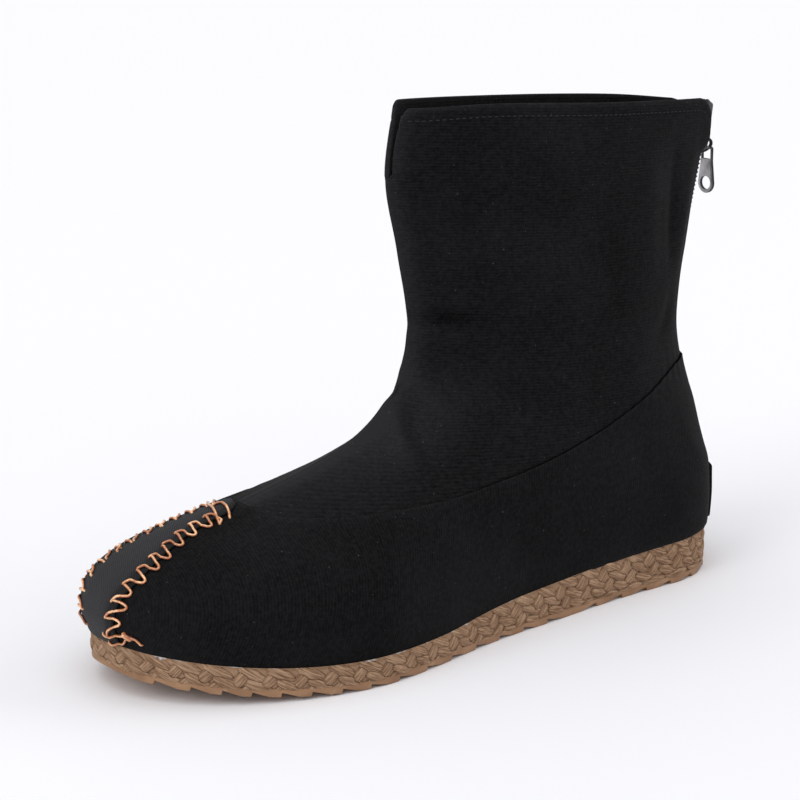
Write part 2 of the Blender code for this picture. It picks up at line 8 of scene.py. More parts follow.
import bmesh
import bpy
import numpy as np
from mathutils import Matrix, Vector


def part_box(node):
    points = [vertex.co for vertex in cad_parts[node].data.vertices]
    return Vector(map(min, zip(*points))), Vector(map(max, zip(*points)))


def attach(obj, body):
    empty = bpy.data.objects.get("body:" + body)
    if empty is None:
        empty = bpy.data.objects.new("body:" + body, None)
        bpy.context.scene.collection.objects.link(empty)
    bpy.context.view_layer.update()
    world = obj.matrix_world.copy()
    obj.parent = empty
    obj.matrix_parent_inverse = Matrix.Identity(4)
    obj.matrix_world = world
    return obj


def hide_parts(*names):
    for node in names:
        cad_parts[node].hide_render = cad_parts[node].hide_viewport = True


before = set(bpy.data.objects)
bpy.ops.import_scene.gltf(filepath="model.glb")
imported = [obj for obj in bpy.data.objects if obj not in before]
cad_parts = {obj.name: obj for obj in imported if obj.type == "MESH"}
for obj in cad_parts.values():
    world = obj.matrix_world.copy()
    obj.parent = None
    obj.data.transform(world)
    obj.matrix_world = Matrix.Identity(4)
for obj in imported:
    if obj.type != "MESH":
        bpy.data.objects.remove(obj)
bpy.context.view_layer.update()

# Studio: the boot stands on a wide pale floor under a bright sky, with broad soft light from above and from
# both sides. The camera stands off its outer front quarter, a little above the collar.
CAMERA_AT, CAMERA_TO = (0.5345, 0.6661, 0.3100), (0.0153, 0.0009, 0.0849)
LENS, SENSOR, FARTHEST = 107.83, 36.0, 60.0
FLOOR_HALF, FLOOR_COLOUR, FLOOR_ROUGH = 30.0, (0.90, 0.90, 0.93, 1), 0.7
SKY_COLOUR, SKY_STRENGTH = (0.985, 0.985, 1.0, 1), 0.6
SOFT_LIGHTS = {"above": ((0.25, 0.1, 1.0), 70, 1.05),
               "toe_side": ((1.0, 0.12, 0.62), 32, 0.75),
               "heel_side": ((-1.0, 0.42, 0.6), 40, 0.55)}


def looking(name, data, place, aim):
    """Object at a place, turned so that its own -Z axis points at the aim."""
    obj = bpy.data.objects.new(name, data)
    obj.location = place
    obj.rotation_euler = (Vector(aim) - Vector(place)).to_track_quat("-Z", "Y").to_euler()
    bpy.context.scene.collection.objects.link(obj)
    return obj


camera = bpy.data.cameras.new("camera")
camera.lens, camera.sensor_width, camera.clip_end = LENS, SENSOR, FARTHEST
bpy.context.scene.camera = looking("camera", camera, CAMERA_AT, CAMERA_TO)
bpy.context.scene.view_settings.view_transform = "Standard"

for name, (place, spread, strength) in SOFT_LIGHTS.items():
    soft_light = bpy.data.lights.new(name, "SUN")
    soft_light.angle, soft_light.energy = math.radians(spread), strength
    looking(name, soft_light, place, (0, 0, 0))

sky = bpy.data.worlds.new("sky")
sky.use_nodes = True
glow = sky.node_tree.nodes["Background"].inputs
glow["Color"].default_value, glow["Strength"].default_value = SKY_COLOUR, SKY_STRENGTH
bpy.context.scene.world = sky

floor_mesh = bpy.data.meshes.new("floor")
corners = FLOOR_HALF * np.array([(-1, -1, 0), (1, -1, 0), (1, 1, 0), (-1, 1, 0)], float)
floor_mesh.from_pydata(corners.tolist(), [], [(0, 1, 2, 3)])
floor = bpy.data.objects.new("floor", floor_mesh)
bpy.context.scene.collection.objects.link(floor)
paper = bpy.data.materials.new("floor_paper")
paper.use_nodes = True
matt = paper.node_tree.nodes["Principled BSDF"].inputs
matt["Base Color"].default_value, matt["Roughness"].default_value = FLOOR_COLOUR, FLOOR_ROUGH
floor_mesh.materials.append(paper)

# Outsole: one sheet of tan rubber under the whole foot, moulded with saw teeth across its width.
# The teeth step up towards the toe in front of the arch and towards the heel behind it.
MM, MERGE = 0.001, 1e-6
LENGTH, GAP = 268.0, 0.3
TOE_SWING, SWING_FROM = 8.0, 120.0
TOE_SPRING, SPRING_FROM = 7.8, 185.0
INNER_WAIST, INNER_BALL = 0.92, 0.96
WAIST_FROM, WAIST_RUN, BALL_FROM, BALL_RUN = 0.2, 0.28, 0.43, 0.3
SOLE_HEEL, SOLE_WAIST, SOLE_BALL = 33.3, 38.3, 51.0
SOLE_BACK_ROUND, SOLE_FRONT_ROUND = 0.13, 0.305
OUTSOLE = 3.0
TOOTH_MARKS = (-1.5, 11.5, 24.3, 37, 49.7, 63, 77, 91, 104.8, 117.3, 130.2, 143, 156.5, 170, 183.5, 195.8,
               206.6, 217.4, 227.4, 236.5, 245, 253.2, 261.4, 270)
TOOTH_TURN, TOOTH_DEPTH, TOOTH_LAND, TOOTH_STEP = 91.0, 1.6, 0.36, 0.04
OUTSOLE_EDGE = {"inset": (6.0, 0.6, 0.1, -0.15, -0.25, -0.2, 0.05, 6.0),
                "rise": (1.0, 1.0, 0.93, 0.75, 0.3, 0.08, 0.0, 0.0)}
OUTSOLE_PLACES, LINE_END, TREAD_SHARP = 420, 8.0, 35
RUBBER_PALE, RUBBER_DEEP, DUST = (0.33, 0.185, 0.10, 1), (0.235, 0.122, 0.062, 1), (0.45, 0.32, 0.215, 1)
zip_low, zip_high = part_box("zip_chain")
BOOT_ORIGIN = np.array([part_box("midsole")[0].x, (zip_low.y + zip_high.y) / 2, 0.0])


def ease(t):
    """Smooth step: 0 below 0, 1 above 1, and t squared times 3 - 2t between."""
    t = np.clip(t, 0, 1)
    return t * t * (3 - 2 * t)


def rounded(share, reach, power):
    """0 at an end of a section, rising to 1 at the share `reach` along it, as a circle or an oval does."""
    return (1 - np.clip(1 - share / reach, 0, 1) ** 2) ** power


def side_widths(heel, waist, ball, side):
    """Half widths at heel, waist and ball, the last two smaller on the inner side."""
    outer = np.asarray(side) > 0
    return heel, waist * np.where(outer, 1, INNER_WAIST), ball * np.where(outer, 1, INNER_BALL)


def along(share, heel, waist, ball):
    """Half width along the foot, easing from heel to waist and from waist to ball."""
    width = heel + (waist - heel) * ease((share - WAIST_FROM) / WAIST_RUN)
    return width + (ball - waist) * ease((share - BALL_FROM) / BALL_RUN)


def centre(x):
    """Centre line of the foot: it swings to the inner side with the square of the way to the toe."""
    return -TOE_SWING * np.clip((x - SWING_FROM) / (LENGTH - SWING_FROM), 0, None) ** 2


def spring(x):
    """Rise of the sole's bottom off the floor, with the square of the way from the ball to the toe."""
    return TOE_SPRING * np.clip((x - SPRING_FROM) / (LENGTH - SPRING_FROM), 0, None) ** 2


def sole_half(x, side):
    """Half width of the sole: the foot's width, closed by a round heel and a round toe."""
    share = np.clip(x / LENGTH, 0, 1)
    body = along(share, *side_widths(SOLE_HEEL, SOLE_WAIST, SOLE_BALL, side))
    return body * rounded(share, SOLE_BACK_ROUND, 0.5) * rounded(1 - share, SOLE_FRONT_ROUND, 0.5)


def both_ways(values):
    """Values at places from heel to toe, then back again without the two ends."""
    return np.concatenate([values, values[-2:0:-1]])


def crowded(count):
    """Shares from 0 to 1, closer together towards both ends: half of 1 minus the cosine of even steps."""
    return (1 - np.cos(np.linspace(0, math.pi, count))) / 2


def joined(*parts):
    """Parts side by side on a last axis, as coordinates make points, all stretched to one shape."""
    return np.stack(np.broadcast_arrays(*parts), axis=-1)


def unit(vectors):
    """Vectors brought to a length of 1."""
    return vectors / np.linalg.norm(vectors, axis=-1, keepdims=True)


def closed_edge(outer, inner):
    """Closed line in plan, forward along the outer side and back along the inner side, and its normals.

    A normal is the chord between a point's two neighbours, turned outwards.
    """
    edge = np.concatenate([outer, inner[-2:0:-1]])
    chord = np.roll(edge, -1, axis=0) - np.roll(edge, 1, axis=0)
    return edge, unit(joined(-chord[:, 1], chord[:, 0]))


def sole_edge(x):
    """Edge of the sole: its half widths to both sides of the foot's centre line."""
    return closed_edge(*(joined(x, centre(x) + side * sole_half(x, side)) for side in (1, -1)))


def tread(x):
    """Height of the tread above the sole's bottom: flat land, slope, and a short step away from the turn."""
    u = np.mod(np.interp(x, TOOTH_MARKS, range(len(TOOTH_MARKS))), 1)
    u = np.where(x < TOOTH_TURN, 1 - u, u)
    rise = np.clip((u - TOOTH_LAND) / (1 - TOOTH_LAND - TOOTH_STEP), 0, 1)
    return TOOTH_DEPTH * np.where(u > 1 - TOOTH_STEP, (1 - u) / TOOTH_STEP, rise)


def grid_faces(rows, columns, loop_rows=False, loop_columns=False):
    """Corner numbers of a grid's cells; a loop joins the last row or column to the first."""
    i = np.arange(rows if loop_rows else rows - 1)[:, None]
    j = np.arange(columns if loop_columns else columns - 1)[None]
    below, above, beside = i * columns, (i + 1) % rows * columns, (j + 1) % columns
    return joined(below + j, below + beside, above + beside, above + j).reshape(-1, 4)


def ring_faces(grid):
    """Cells of a grid whose rows are closed rings, or of many such grids that are stacked in one array."""
    rows, columns = grid.shape[-3:-1]
    starts = np.arange(0, grid.size // 3, rows * columns)
    return (grid_faces(rows, columns, loop_columns=True) + starts[:, None, None]).reshape(-1, 4)


def padded(edge, normal, profile, low, high, line, line_low, line_high):
    """Grid of a flat pad: its top's centre line, rows down its edge's profile, and its bottom's centre line.

    The profile gives how far each row lies inside the edge, and its share of the way from low to high.
    """
    rows = [joined(line, centre(line), line_high)]
    for inset, rise in zip(profile["inset"], profile["rise"]):
        z = low + (high - low) * rise
        rows.append(np.concatenate([edge - normal * inset, z[:, None]], axis=1))
    rows.append(joined(line, centre(line), line_low))
    return np.stack(rows)


def new_piece(name, points, faces, sharp=180, uv=None, marks=None):
    """Mesh object at the origin from points in the boot's millimetres.

    Points that meet are merged, which closes seams and poles, and the faces are turned outwards. The map and
    the marks are given for each point.
    """
    points = np.asarray(points, float).reshape(-1, 3) * MM + BOOT_ORIGIN
    mesh = bpy.data.meshes.new(name)
    mesh.from_pydata(points.tolist(), [], faces.tolist() if isinstance(faces, np.ndarray) else faces)
    if uv is not None:
        layer = mesh.uv_layers.new(name="cloth")
        layer.data.foreach_set("uv", np.asarray(uv, float).reshape(-1, 2)[faces.ravel()].ravel())
    for mark, values in (marks or {}).items():
        attribute = mesh.attributes.new(mark, "FLOAT", "POINT")
        attribute.data.foreach_set("value", np.asarray(values, float).ravel())
    shape = bmesh.new()
    shape.from_mesh(mesh)
    bmesh.ops.remove_doubles(shape, verts=shape.verts, dist=MERGE)
    if shape.calc_volume(signed=True) < 0:
        bmesh.ops.reverse_faces(shape, faces=shape.faces)
    shape.to_mesh(mesh)
    shape.free()
    mesh.shade_smooth()
    mesh.set_sharp_from_angle(angle=math.radians(sharp))
    piece = bpy.data.objects.new(name, mesh)
    bpy.context.scene.collection.objects.link(piece)
    return piece


class Wire:
    """A shader socket. Arithmetic on it adds Math nodes, and node() adds any other node to the same tree."""

    def __init__(self, tree, socket=None):
        self.tree, self.socket = tree, socket

    def node(self, kind, settings=None, sockets=None, out=0):
        """Adds a node: first its settings, then its sockets' values or wires."""
        made = self.tree.nodes.new("ShaderNode" + kind)
        for key, value in (settings or {}).items():
            setattr(made, key, value)
        for key, value in (sockets or {}).items():
            if isinstance(value, Wire):
                self.tree.links.new(value.socket, made.inputs[key])
            else:
                made.inputs[key].default_value = value
        return Wire(self.tree, made.outputs[out])

    def also(self, out):
        """Another output of the node that this wire comes from."""
        return Wire(self.tree, self.socket.node.outputs[out])

    def into(self, socket):
        self.tree.links.new(self.socket, socket)

    def math(self, operation, *values):
        return self.node("Math", {"operation": operation}, dict(enumerate(values)))

    def place(self):
        """The piece's own Object coordinates, in metres."""
        return self.node("TexCoord", out="Object")

    def mark(self, name):
        """A value that the piece carries at each point."""
        return self.node("Attribute", {"attribute_name": name}, out="Fac")

    def cloth_map(self):
        """Both coordinates of the piece's own map."""
        split = self.node("SeparateXYZ", None, {0: self.node("UVMap", {"uv_map": "cloth"})})
        return split, split.also("Y")

    def noise(self, place, scale, detail=2.0, roughness=0.5):
        return self.node("TexNoise", None, {"Vector": place, "Scale": scale, "Detail": detail,
                                            "Roughness": roughness})

    def between(self, low, high):
        """0 where the value is low, 1 where it is high, and a smooth step between."""
        return self.node("MapRange", {"interpolation_type": "SMOOTHSTEP"},
                         {"Value": self, "From Min": low, "From Max": high})

    def colours(self, first, second):
        """First colour where the value is 0, second where it is 1."""
        return self.node("Mix", {"data_type": "RGBA"}, {0: self, 6: first, 7: second}, out=2)

    def bump(self, strength, depth):
        """Surface normal with this value as relief of the given depth in millimetres."""
        return self.node("Bump", None, {"Strength": strength, "Distance": depth * MM, "Height": self})

    def wave(self):
        """Sine of the value, brought to between 0 and 1."""
        return self.math("SINE", self) * 0.5 + 0.5

    def clamped(self):
        return self.node("Clamp", None, {0: self})

    def __add__(self, other):
        return self.math("ADD", self, other)

    def __radd__(self, other):
        return self.math("ADD", other, self)

    def __sub__(self, other):
        return self.math("SUBTRACT", self, other)

    def __rsub__(self, other):
        return self.math("SUBTRACT", other, self)

    def __mul__(self, other):
        return self.math("MULTIPLY", self, other)

    def __rmul__(self, other):
        return self.math("MULTIPLY", other, self)


def new_finish(name, roughness, metallic=0.0, **constants):
    """Material with one shader: the material, the shader's sockets and a wire to start from."""
    material = bpy.data.materials.new(name)
    material.use_nodes = True
    sockets = material.node_tree.nodes["Principled BSDF"].inputs
    sockets["Roughness"].default_value, sockets["Metallic"].default_value = roughness, metallic
    for key, value in constants.items():
        sockets[key.replace("_", " ").title().replace("Ior", "IOR")].default_value = value
    return material, sockets, Wire(material.node_tree)


def sit(piece, material, body="boot", node=None):
    """Gives a piece its material, its body and the node that it stands for."""
    piece.data.materials.append(material)
    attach(piece, body)
    if node:
        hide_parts(node)


def outsole():
    """Pad along the sole's edge with the tread as its lower side, at every corner of a tooth and between."""
    starts, pitch = np.array(TOOTH_MARKS[:-1])[:, None], np.diff(TOOTH_MARKS)[:, None]
    ahead = (starts + pitch * np.array([0, TOOTH_LAND, 1 - TOOTH_STEP])).ravel()
    behind = (starts + pitch * np.array([0, TOOTH_STEP, 1 - TOOTH_LAND])).ravel()
    corners = [ahead[ahead >= TOOTH_TURN], behind[behind < TOOTH_TURN]]
    x = np.concatenate([*corners, LENGTH * crowded(OUTSOLE_PLACES)])
    x = np.unique(np.round(x[(x >= 0) & (x <= LENGTH)], 3))
    edge, normal = sole_edge(x)
    place = both_ways(x)
    line = np.clip(place, LINE_END, LENGTH - LINE_END)
    grid = padded(edge, normal, OUTSOLE_EDGE, spring(place) + tread(place), spring(place) + OUTSOLE,
                  line, spring(line) + tread(line), spring(line) + OUTSOLE)
    return new_piece("tread_sole", grid, ring_faces(grid), sharp=TREAD_SHARP)


def rubber():
    """Tan rubber: broad mottling, fine pits in the relief, and pale dust where a slow noise is high."""
    material, sockets, start = new_finish("tan_rubber", 0.5, specular_ior_level=0.35)
    place = start.place()
    mottle = start.noise(place, 90.0, 4.0).between(0.3, 0.7)
    dust = start.noise(place, 260.0, 3.0).between(0.56, 0.75) * 0.35
    dust.colours(mottle.colours(RUBBER_DEEP, RUBBER_PALE), DUST).into(sockets["Base Color"])
    (0.45 + mottle * 0.2).into(sockets["Roughness"])
    start.noise(place, 1400.0, 3.0).bump(0.25, 0.2).into(sockets["Normal"])
    return material


sit(outsole(), rubber(), node="outsole")

# Midsole: jute yarn plaited into a thick flat band and wound round the foot's edge, thicker under the heel.
# Long strands lean one way, short pieces of the strands that cross them show between, and glue shows on
# its upper edge.
SOLE_HEIGHT = {"x": (0, 40, 80, 110, 135, 160, 200, 270),
               "height": (18.2, 17.2, 15.7, 14.1, 12.1, 10.3, 10.1, 10.6)}
PLAIT = {"below": (2.1, 4.3, 6.5, 8.9, 11.2, 13.8), "shift": (0.0, 0.42, 0.72, 0.18, 0.5, 0.1),
         "lean": (27, -46, 25, -42, 20, 6), "long": (6.2, 3.9, 5.8, 3.9, 6.0, 7.4),
         "wide": (2.3, 2.2, 2.2, 2.2, 2.1, 2.2), "high": (1.9, 1.95, 1.9, 1.9, 1.9, 1.8)}
PITCH_HEEL, PITCH_TOE, PLAIT_SUNK, PLAIT_FOOT, PLAIT_GROUND = 12.8, 10.6, 1.35, 2.1, 0.95
PLAIT_TURN, TURN_POWER = 0.6, 9
EGG_EDGE, EGG_CROWN, EGG_TILT = 2.5, 0.4, 0.035
ODD_LEAN, ODD_AHEAD, ODD_ABOVE, ODD_HIGH, ODD_TONE, ROW_TONE = 3.0, 0.35, 0.18, 0.05, 3, 10
SEAM_NARROW, SEAM_DEEP, SEAM_TOP = 0.2, 0.25, 0.8
TOP_STRAIGHT, TOP_FULL, TOP_FALL = 1.4, 0.72, 3
LEDGE, GLUE_AT, GLUE_RUN, GLUE_DEEP = (0.7, 1.0), (259.5, 15.5), 4.5, 2.4
PLAIT_COLUMNS, PLAIT_ROWS, PLAIT_SEED, RIM_STEPS = 800, 52, 11, 4000
STRAND_NEIGHBOURS = (-1, 0, 1)
FIBRE_ALONG, FIBRE_ACROSS = 0.16, 2.6
# The deepest jute colour also serves as painted shade in the crevices between strands.
JUTE_PALE, JUTE, JUTE_DEEP = (0.53, 0.352, 0.226, 1), (0.168, 0.088, 0.047, 1), (0.08, 0.032, 0.015, 1)
GLUE = (0.72, 0.71, 0.70, 1)


def smooth(knots, values, at):
    """Cubic through the values at the knots that never overshoots them.

    Its tangent at a knot is the harmonic mean of the slopes on both sides.
    """
    knots, values, at = (np.asarray(v, float) for v in (knots, values, at))
    step = np.diff(knots)
    slope = np.diff(values) / step
    left, right = slope[:-1], slope[1:]
    same = left * right > 0
    inner = np.where(same, 2 * left * right / np.where(same, left + right, 1.0), 0.0)
    tangent = np.concatenate([slope[:1], inner, slope[-1:]])
    k = np.clip(np.searchsorted(knots, at, side="right") - 1, 0, len(step) - 1)
    t = np.clip((at - knots[k]) / step[k], 0, 1)
    start = (1 + 2 * t) * (1 - t) ** 2 * values[k] + t * (1 - t) ** 2 * step[k] * tangent[k]
    return start + t * t * (3 - 2 * t) * values[k + 1] + t * t * (t - 1) * step[k] * tangent[k + 1]


def sole_top(x):
    """Top of the sole: its height at places along the foot, added to the toe's spring."""
    return spring(x) + smooth(SOLE_HEIGHT["x"], SOLE_HEIGHT["height"], x)


def runs(grid, axis):
    """Length along the rows or the columns of a grid, from its first point."""
    step = np.linalg.norm(np.diff(grid, axis=axis), axis=-1)
    return np.concatenate([np.zeros_like(step.take([0], axis)), np.cumsum(step, axis=axis)], axis=axis)


def bell(apart, reach):
    """1 at no distance, falling off on both sides: e to the minus square of the distance over the reach."""
    return np.exp(-(apart / reach) ** 2)


def plait(beat, pitch, below):
    """Relief of the plait at a beat, which counts strands round the sole, and a depth below the band's top.

    A strand is a half egg: high * (1 - |p / long|^edge - |q / wide|^edge)^crown, with p along it and q across
    it, a little higher at one end. The highest strand wins. Gives the relief, how far the next strand lies
    below it, p, q and the strand's number.
    """
    count = int(beat.max()) + 1
    chance = np.random.default_rng(PLAIT_SEED)
    best = np.full(np.broadcast_shapes(beat.shape, below.shape), PLAIT_GROUND)
    second, lengthwise, crosswise, number = (np.zeros_like(best) for _ in range(4))
    for row, (middle, shift) in enumerate(zip(PLAIT["below"], PLAIT["shift"])):
        odd = chance.normal(size=(5, count))
        for neighbour in STRAND_NEIGHBOURS:
            k = np.floor(beat - shift + 0.5) + neighbour
            turned, ahead_by, above_by, taller, tone = odd[:, np.mod(k, count).astype(int)]
            lean = np.radians(PLAIT["lean"][row] + ODD_LEAN * turned)
            ahead = (beat - k - shift) * pitch - ODD_AHEAD * ahead_by
            above = middle - below - ODD_ABOVE * above_by
            p = ahead * np.cos(lean) + above * np.sin(lean)
            q = above * np.cos(lean) - ahead * np.sin(lean)
            egg = 1 - np.abs(p / PLAIT["long"][row]) ** EGG_EDGE - np.abs(q / PLAIT["wide"][row]) ** EGG_EDGE
            relief = PLAIT["high"][row] * (1 + ODD_HIGH * taller) * np.clip(egg, 0, None) ** EGG_CROWN
            relief = relief * (1 + EGG_TILT * p)
            wins = relief > best
            second = np.where(wins, best, np.maximum(second, relief))
            best = np.where(wins, relief, best)
            lengthwise, crosswise = np.where(wins, p, lengthwise), np.where(wins, q, crosswise)
            number = np.where(wins, ROW_TONE * row + ODD_TONE * tone, number)
    return best, best - second, lengthwise, crosswise, number


def midsole():
    """Rows up the band's outer face, closed over the top and the bottom by the foot's centre line."""
    fine = LENGTH * crowded(RIM_STEPS)
    length = runs(joined(fine, centre(fine) + sole_half(fine, 1)), 0)
    x = np.interp(np.linspace(0, length[-1], PLAIT_COLUMNS), length, fine)
    edge, normal = sole_edge(x)
    step = np.linalg.norm(np.roll(edge, -1, axis=0) - edge, axis=1)
    place = both_ways(x)
    pitch = PITCH_HEEL + (PITCH_TOE - PITCH_HEEL) * place / LENGTH
    beat = np.concatenate([[0], np.cumsum(step / pitch)])
    beat = (beat * np.round(beat[-1]) / beat[-1])[:-1]
    low, high = spring(place) + PLAIT_FOOT, sole_top(place)
    level = np.linspace(0, 1, PLAIT_ROWS)[:, None]
    below = (high - low) * (1 - level)
    relief, apart, lengthwise, crosswise, number = plait(beat[None], pitch[None], below)
    straight = ease(1 - below / TOP_STRAIGHT)
    seam_line = np.maximum(np.clip(apart / SEAM_NARROW, 0, 1), SEAM_TOP * straight)
    turn = PLAIT_TURN * np.abs(2 * level - 1) ** TURN_POWER
    grow = relief - PLAIT_SUNK - turn - SEAM_DEEP * (1 - seam_line)
    grow = np.maximum(grow, PLAIT["high"][0] * TOP_FULL - PLAIT_SUNK - TOP_FALL * (1 - straight))
    height = low + (high - low) * level
    face = np.concatenate([edge + normal * grow[..., None], height[..., None]], -1)
    line = np.clip(place, LINE_END, LENGTH - LINE_END)
    foot = joined(line, centre(line), spring(line) + PLAIT_FOOT)[None]
    top = joined(line, centre(line), sole_top(line))[None]
    grid = np.concatenate([foot, face, top])

    def with_ends(values):
        return np.concatenate([values[:1], values, values[-1:]])

    ledge = np.concatenate([np.zeros(PLAIT_ROWS), LEDGE])[:, None] * np.ones(len(place))
    blob = bell(np.linalg.norm(edge - GLUE_AT, axis=1), GLUE_RUN)
    ledge[1:-1] = np.maximum(ledge[1:-1], blob * ease(1 - below / GLUE_DEEP))
    marks = {"crevice": with_ends(seam_line), "strand": with_ends(number), "ledge": ledge}
    fibres = with_ends(joined(lengthwise, crosswise))
    return new_piece("plaited_band", grid, ring_faces(grid), uv=fibres, marks=marks)


def jute():
    """Dry jute: fibres are noise drawn out along each strand, painted shade between strands, pale glue on
    top.
    """
    material, sockets, start = new_finish("jute", 0.9, specular_ior_level=0.15)
    strand, filled, ledge = (start.mark(name) for name in ("strand", "crevice", "ledge"))
    lengthwise, crosswise = start.cloth_map()
    stretched = {0: lengthwise * FIBRE_ALONG, 1: crosswise * FIBRE_ACROSS, 2: strand}
    drawn = start.node("CombineXYZ", None, stretched)
    fibres = start.noise(drawn, 1.0, 4.0, 0.6).between(0.36, 0.64)
    creases = start.noise(drawn, 1.1, 2.0, 0.5).between(0.32, 0.44)
    place = start.place()
    tone = start.noise(place, 60.0, 3.0)
    speckle = start.noise(place, 900.0, 2.0)
    pale = fibres * 0.6 + tone * 0.4 + speckle * 0.3 - 0.25
    strand_colour = pale.clamped().colours(JUTE, JUTE_PALE)
    strand_colour = (0.7 + creases * 0.3).colours(JUTE_DEEP, strand_colour)
    # Painted shade: the crevices between strands are coloured towards the deepest jute colour.
    body = (0.12 + filled.between(0.1, 0.9) * 0.88).colours(JUTE_DEEP, strand_colour)
    smears = start.noise(place, 130.0, 3.0) * 0.8 + speckle * 0.3
    glue = (ledge * 0.5 + smears).between(0.93, 1.08) * 0.85
    glue.colours(body, GLUE).into(sockets["Base Color"])
    (fibres * 0.6 + creases * 0.4 + speckle * 0.3).bump(0.6, 0.36).into(sockets["Normal"])
    return material


sit(midsole(), jute(), node="midsole")

# Upper: black cotton twill, cut in one piece round the foot, open underneath and drawn in at its lower edge.
# Its top edge is turned in and sewn over the shaft. Its ribs stand nearly upright.
WALL, THIN, THIN_RUN, MAP_LEVEL = 1.8, 0.32, 3.5, 30.0
PANEL_STEP, STEP_FROM, STEP_RUN, BACK_FADE = 0.7, 0.6, 0.3, 9
FORM_COLUMNS = ("z", "back", "front", "heel", "waist", "ball",
                "back_round", "front_round", "back_power", "front_power", "back_tip", "front_tip")
FORM_ROWS = (
    (10, 2.0, 263.0, 32.3, 36.3, 49.0, 0.13, 0.28, 0.50, 0.50, 4.0, 3.0),
    (20, 0.4, 267.5, 33.5, 36.6, 49.8, 0.13, 0.28, 0.50, 0.50, 4.0, 3.0),
    (28, 0.2, 270.0, 34.0, 36.0, 49.0, 0.13, 0.28, 0.50, 0.50, 4.2, 3.0),
    (36, 0.2, 268.5, 34.0, 36.0, 46.5, 0.14, 0.29, 0.50, 0.50, 4.6, 3.0),
    (43, 0.4, 261.0, 33.5, 35.5, 42.5, 0.15, 0.31, 0.52, 0.52, 5.0, 2.5),
    (50, 0.9, 243.0, 32.5, 35.0, 37.0, 0.18, 0.35, 0.60, 0.60, 5.2, 2.0),
    (58, 2.0, 213.0, 31.5, 34.0, 31.0, 0.22, 0.40, 0.68, 0.75, 5.2, 1.5),
    (66, 3.8, 184.5, 30.5, 32.5, 28.0, 0.26, 0.44, 0.72, 0.86, 5.2, 1.2),
    (74, 6.6, 164.5, 29.0, 31.0, 26.5, 0.30, 0.48, 0.74, 0.90, 5.2, 1.0),
    (84, 9.8, 152.0, 28.0, 29.5, 26.0, 0.34, 0.50, 0.74, 0.90, 5.2, 1.0),
    (98, 11.8, 143.0, 26.5, 27.5, 24.5, 0.38, 0.50, 0.74, 0.90, 5.2, 1.0),
    (112, 10.3, 141.0, 24.5, 25.5, 23.0, 0.41, 0.50, 0.75, 0.90, 5.2, 1.0),
    (140, 4.0, 145.5, 20.5, 21.5, 19.5, 0.46, 0.50, 0.78, 0.88, 5.2, 1.0),
    (167, -2.2, 150.5, 17.5, 19.0, 17.0, 0.50, 0.50, 0.80, 0.85, 5.2, 1.2),
    (194, -6.0, 145.0, 15.0, 16.5, 15.0, 0.50, 0.50, 0.80, 0.85, 5.2, 3.2),
)
FORM = dict(zip(FORM_COLUMNS, np.array(FORM_ROWS, float).T))
SEAM = {"share": (0, 0.1, 0.16, 0.28, 0.42, 0.55, 0.68, 0.80, 0.92, 1.0),
        "z": (84.2, 84, 82.2, 75.8, 67, 59, 55.4, 54.7, 55.4, 58)}
UPPER_COLUMNS, UPPER_ROWS, FEATHER_ROUNDS = 150, 64, 5
ZIP_HALF, SLOT_FROM, SLOT_RUN = 3.3, 35.5, 3.0
TURN_STEPS, TINY = 3, 1e-9
SEAM_WORN, FOOT_WORN = (0.3, 0.9), (0.2, 1.0)
PUCKER_PITCH, PUCKER_DEPTH, PUCKER_REACH = 6.5, 0.16, 5.0
FOOT_FOLDS = (
    (((196, 26, 60), (188, 33, 47), (182, 40, 33)), 6.3, -0.9),
    (((214, 24, 55), (208, 34, 44), (203, 44, 30)), 5.4, 0.52),
    (((150, 31, 60), (144, 34, 48), (140, 36, 34)), 7.2, -0.52),
    (((60, 33, 64), (52, 34, 50), (48, 34, 36)), 8.1, -0.75),
    (((30, 31, 74), (22, 31, 58), (16, 29, 40)), 5.4, 0.6),
    (((190, -25, 60), (184, -32, 46), (180, -38, 32)), 6.3, -0.9),
    (((150, -28, 58), (146, -32, 46), (142, -34, 34)), 7.2, -0.6),
    (((58, -32, 62), (50, -33, 48), (44, -33, 34)), 7.2, 0.6),
)
FOLD_STEPS, FOLD_TIP, FOLD_FADE = 40, 0.02, 0.6
TWILL_DEEP, TWILL_PALE = (0.0022, 0.0022, 0.0025, 1), (0.0210, 0.0210, 0.0226, 1)
LINT = (0.22, 0.22, 0.23, 1)
FOOT_RIBS = {"pitch": 1.15, "lean": 16.0, "relief": 0.14}


def form(column, z):
    return smooth(FORM["z"], FORM[column], z)


def half_width(x, z, side):
    """Half width of the cloth's level section: the foot's width times its two round ends, plus blunt tips."""
    back, front = form("back", z), form("front", z)
    share = np.clip((x - back) / (front - back), 0, 1)
    rear = rounded(share, form("back_round", z), form("back_power", z))
    fore = rounded(1 - share, form("front_round", z), form("front_power", z))
    body = along(share, *side_widths(form("heel", z), form("waist", z), form("ball", z), side))
    return body * rear * fore + form("back_tip", z) * (1 - rear) + form("front_tip", z) * (1 - fore)


def outside(side, share, z, grow=0.0):
    """Point of the cloth's outer face, at a share from the back to the front of its level section."""
    back, front = form("back", z), form("front", z)
    x = back + (front - back) * share
    y = centre(x) + side * (half_width(x, z, side) + grow)
    return joined(x - grow * (1 - share) ** BACK_FADE, y, z)


def seam(share):
    """Height of the seam between upper and shaft, at a share from the back to the front."""
    return smooth(SEAM["share"], SEAM["z"], share)


def feather(side, share):
    """Height at which the cloth meets the sole, found by stepping to and fro between the two."""
    z = np.full(len(share), float(SOLE_HEIGHT["height"][0]))
    for _ in range(FEATHER_ROUNDS):
        z = sole_top(outside(side, share, z)[:, 0])
    return z


def face_normals(grid):
    """Outward normals of a grid whose rows run up and whose columns run back to front on the outer side."""
    return unit(np.cross(np.gradient(grid, axis=0), np.gradient(grid, axis=1)))


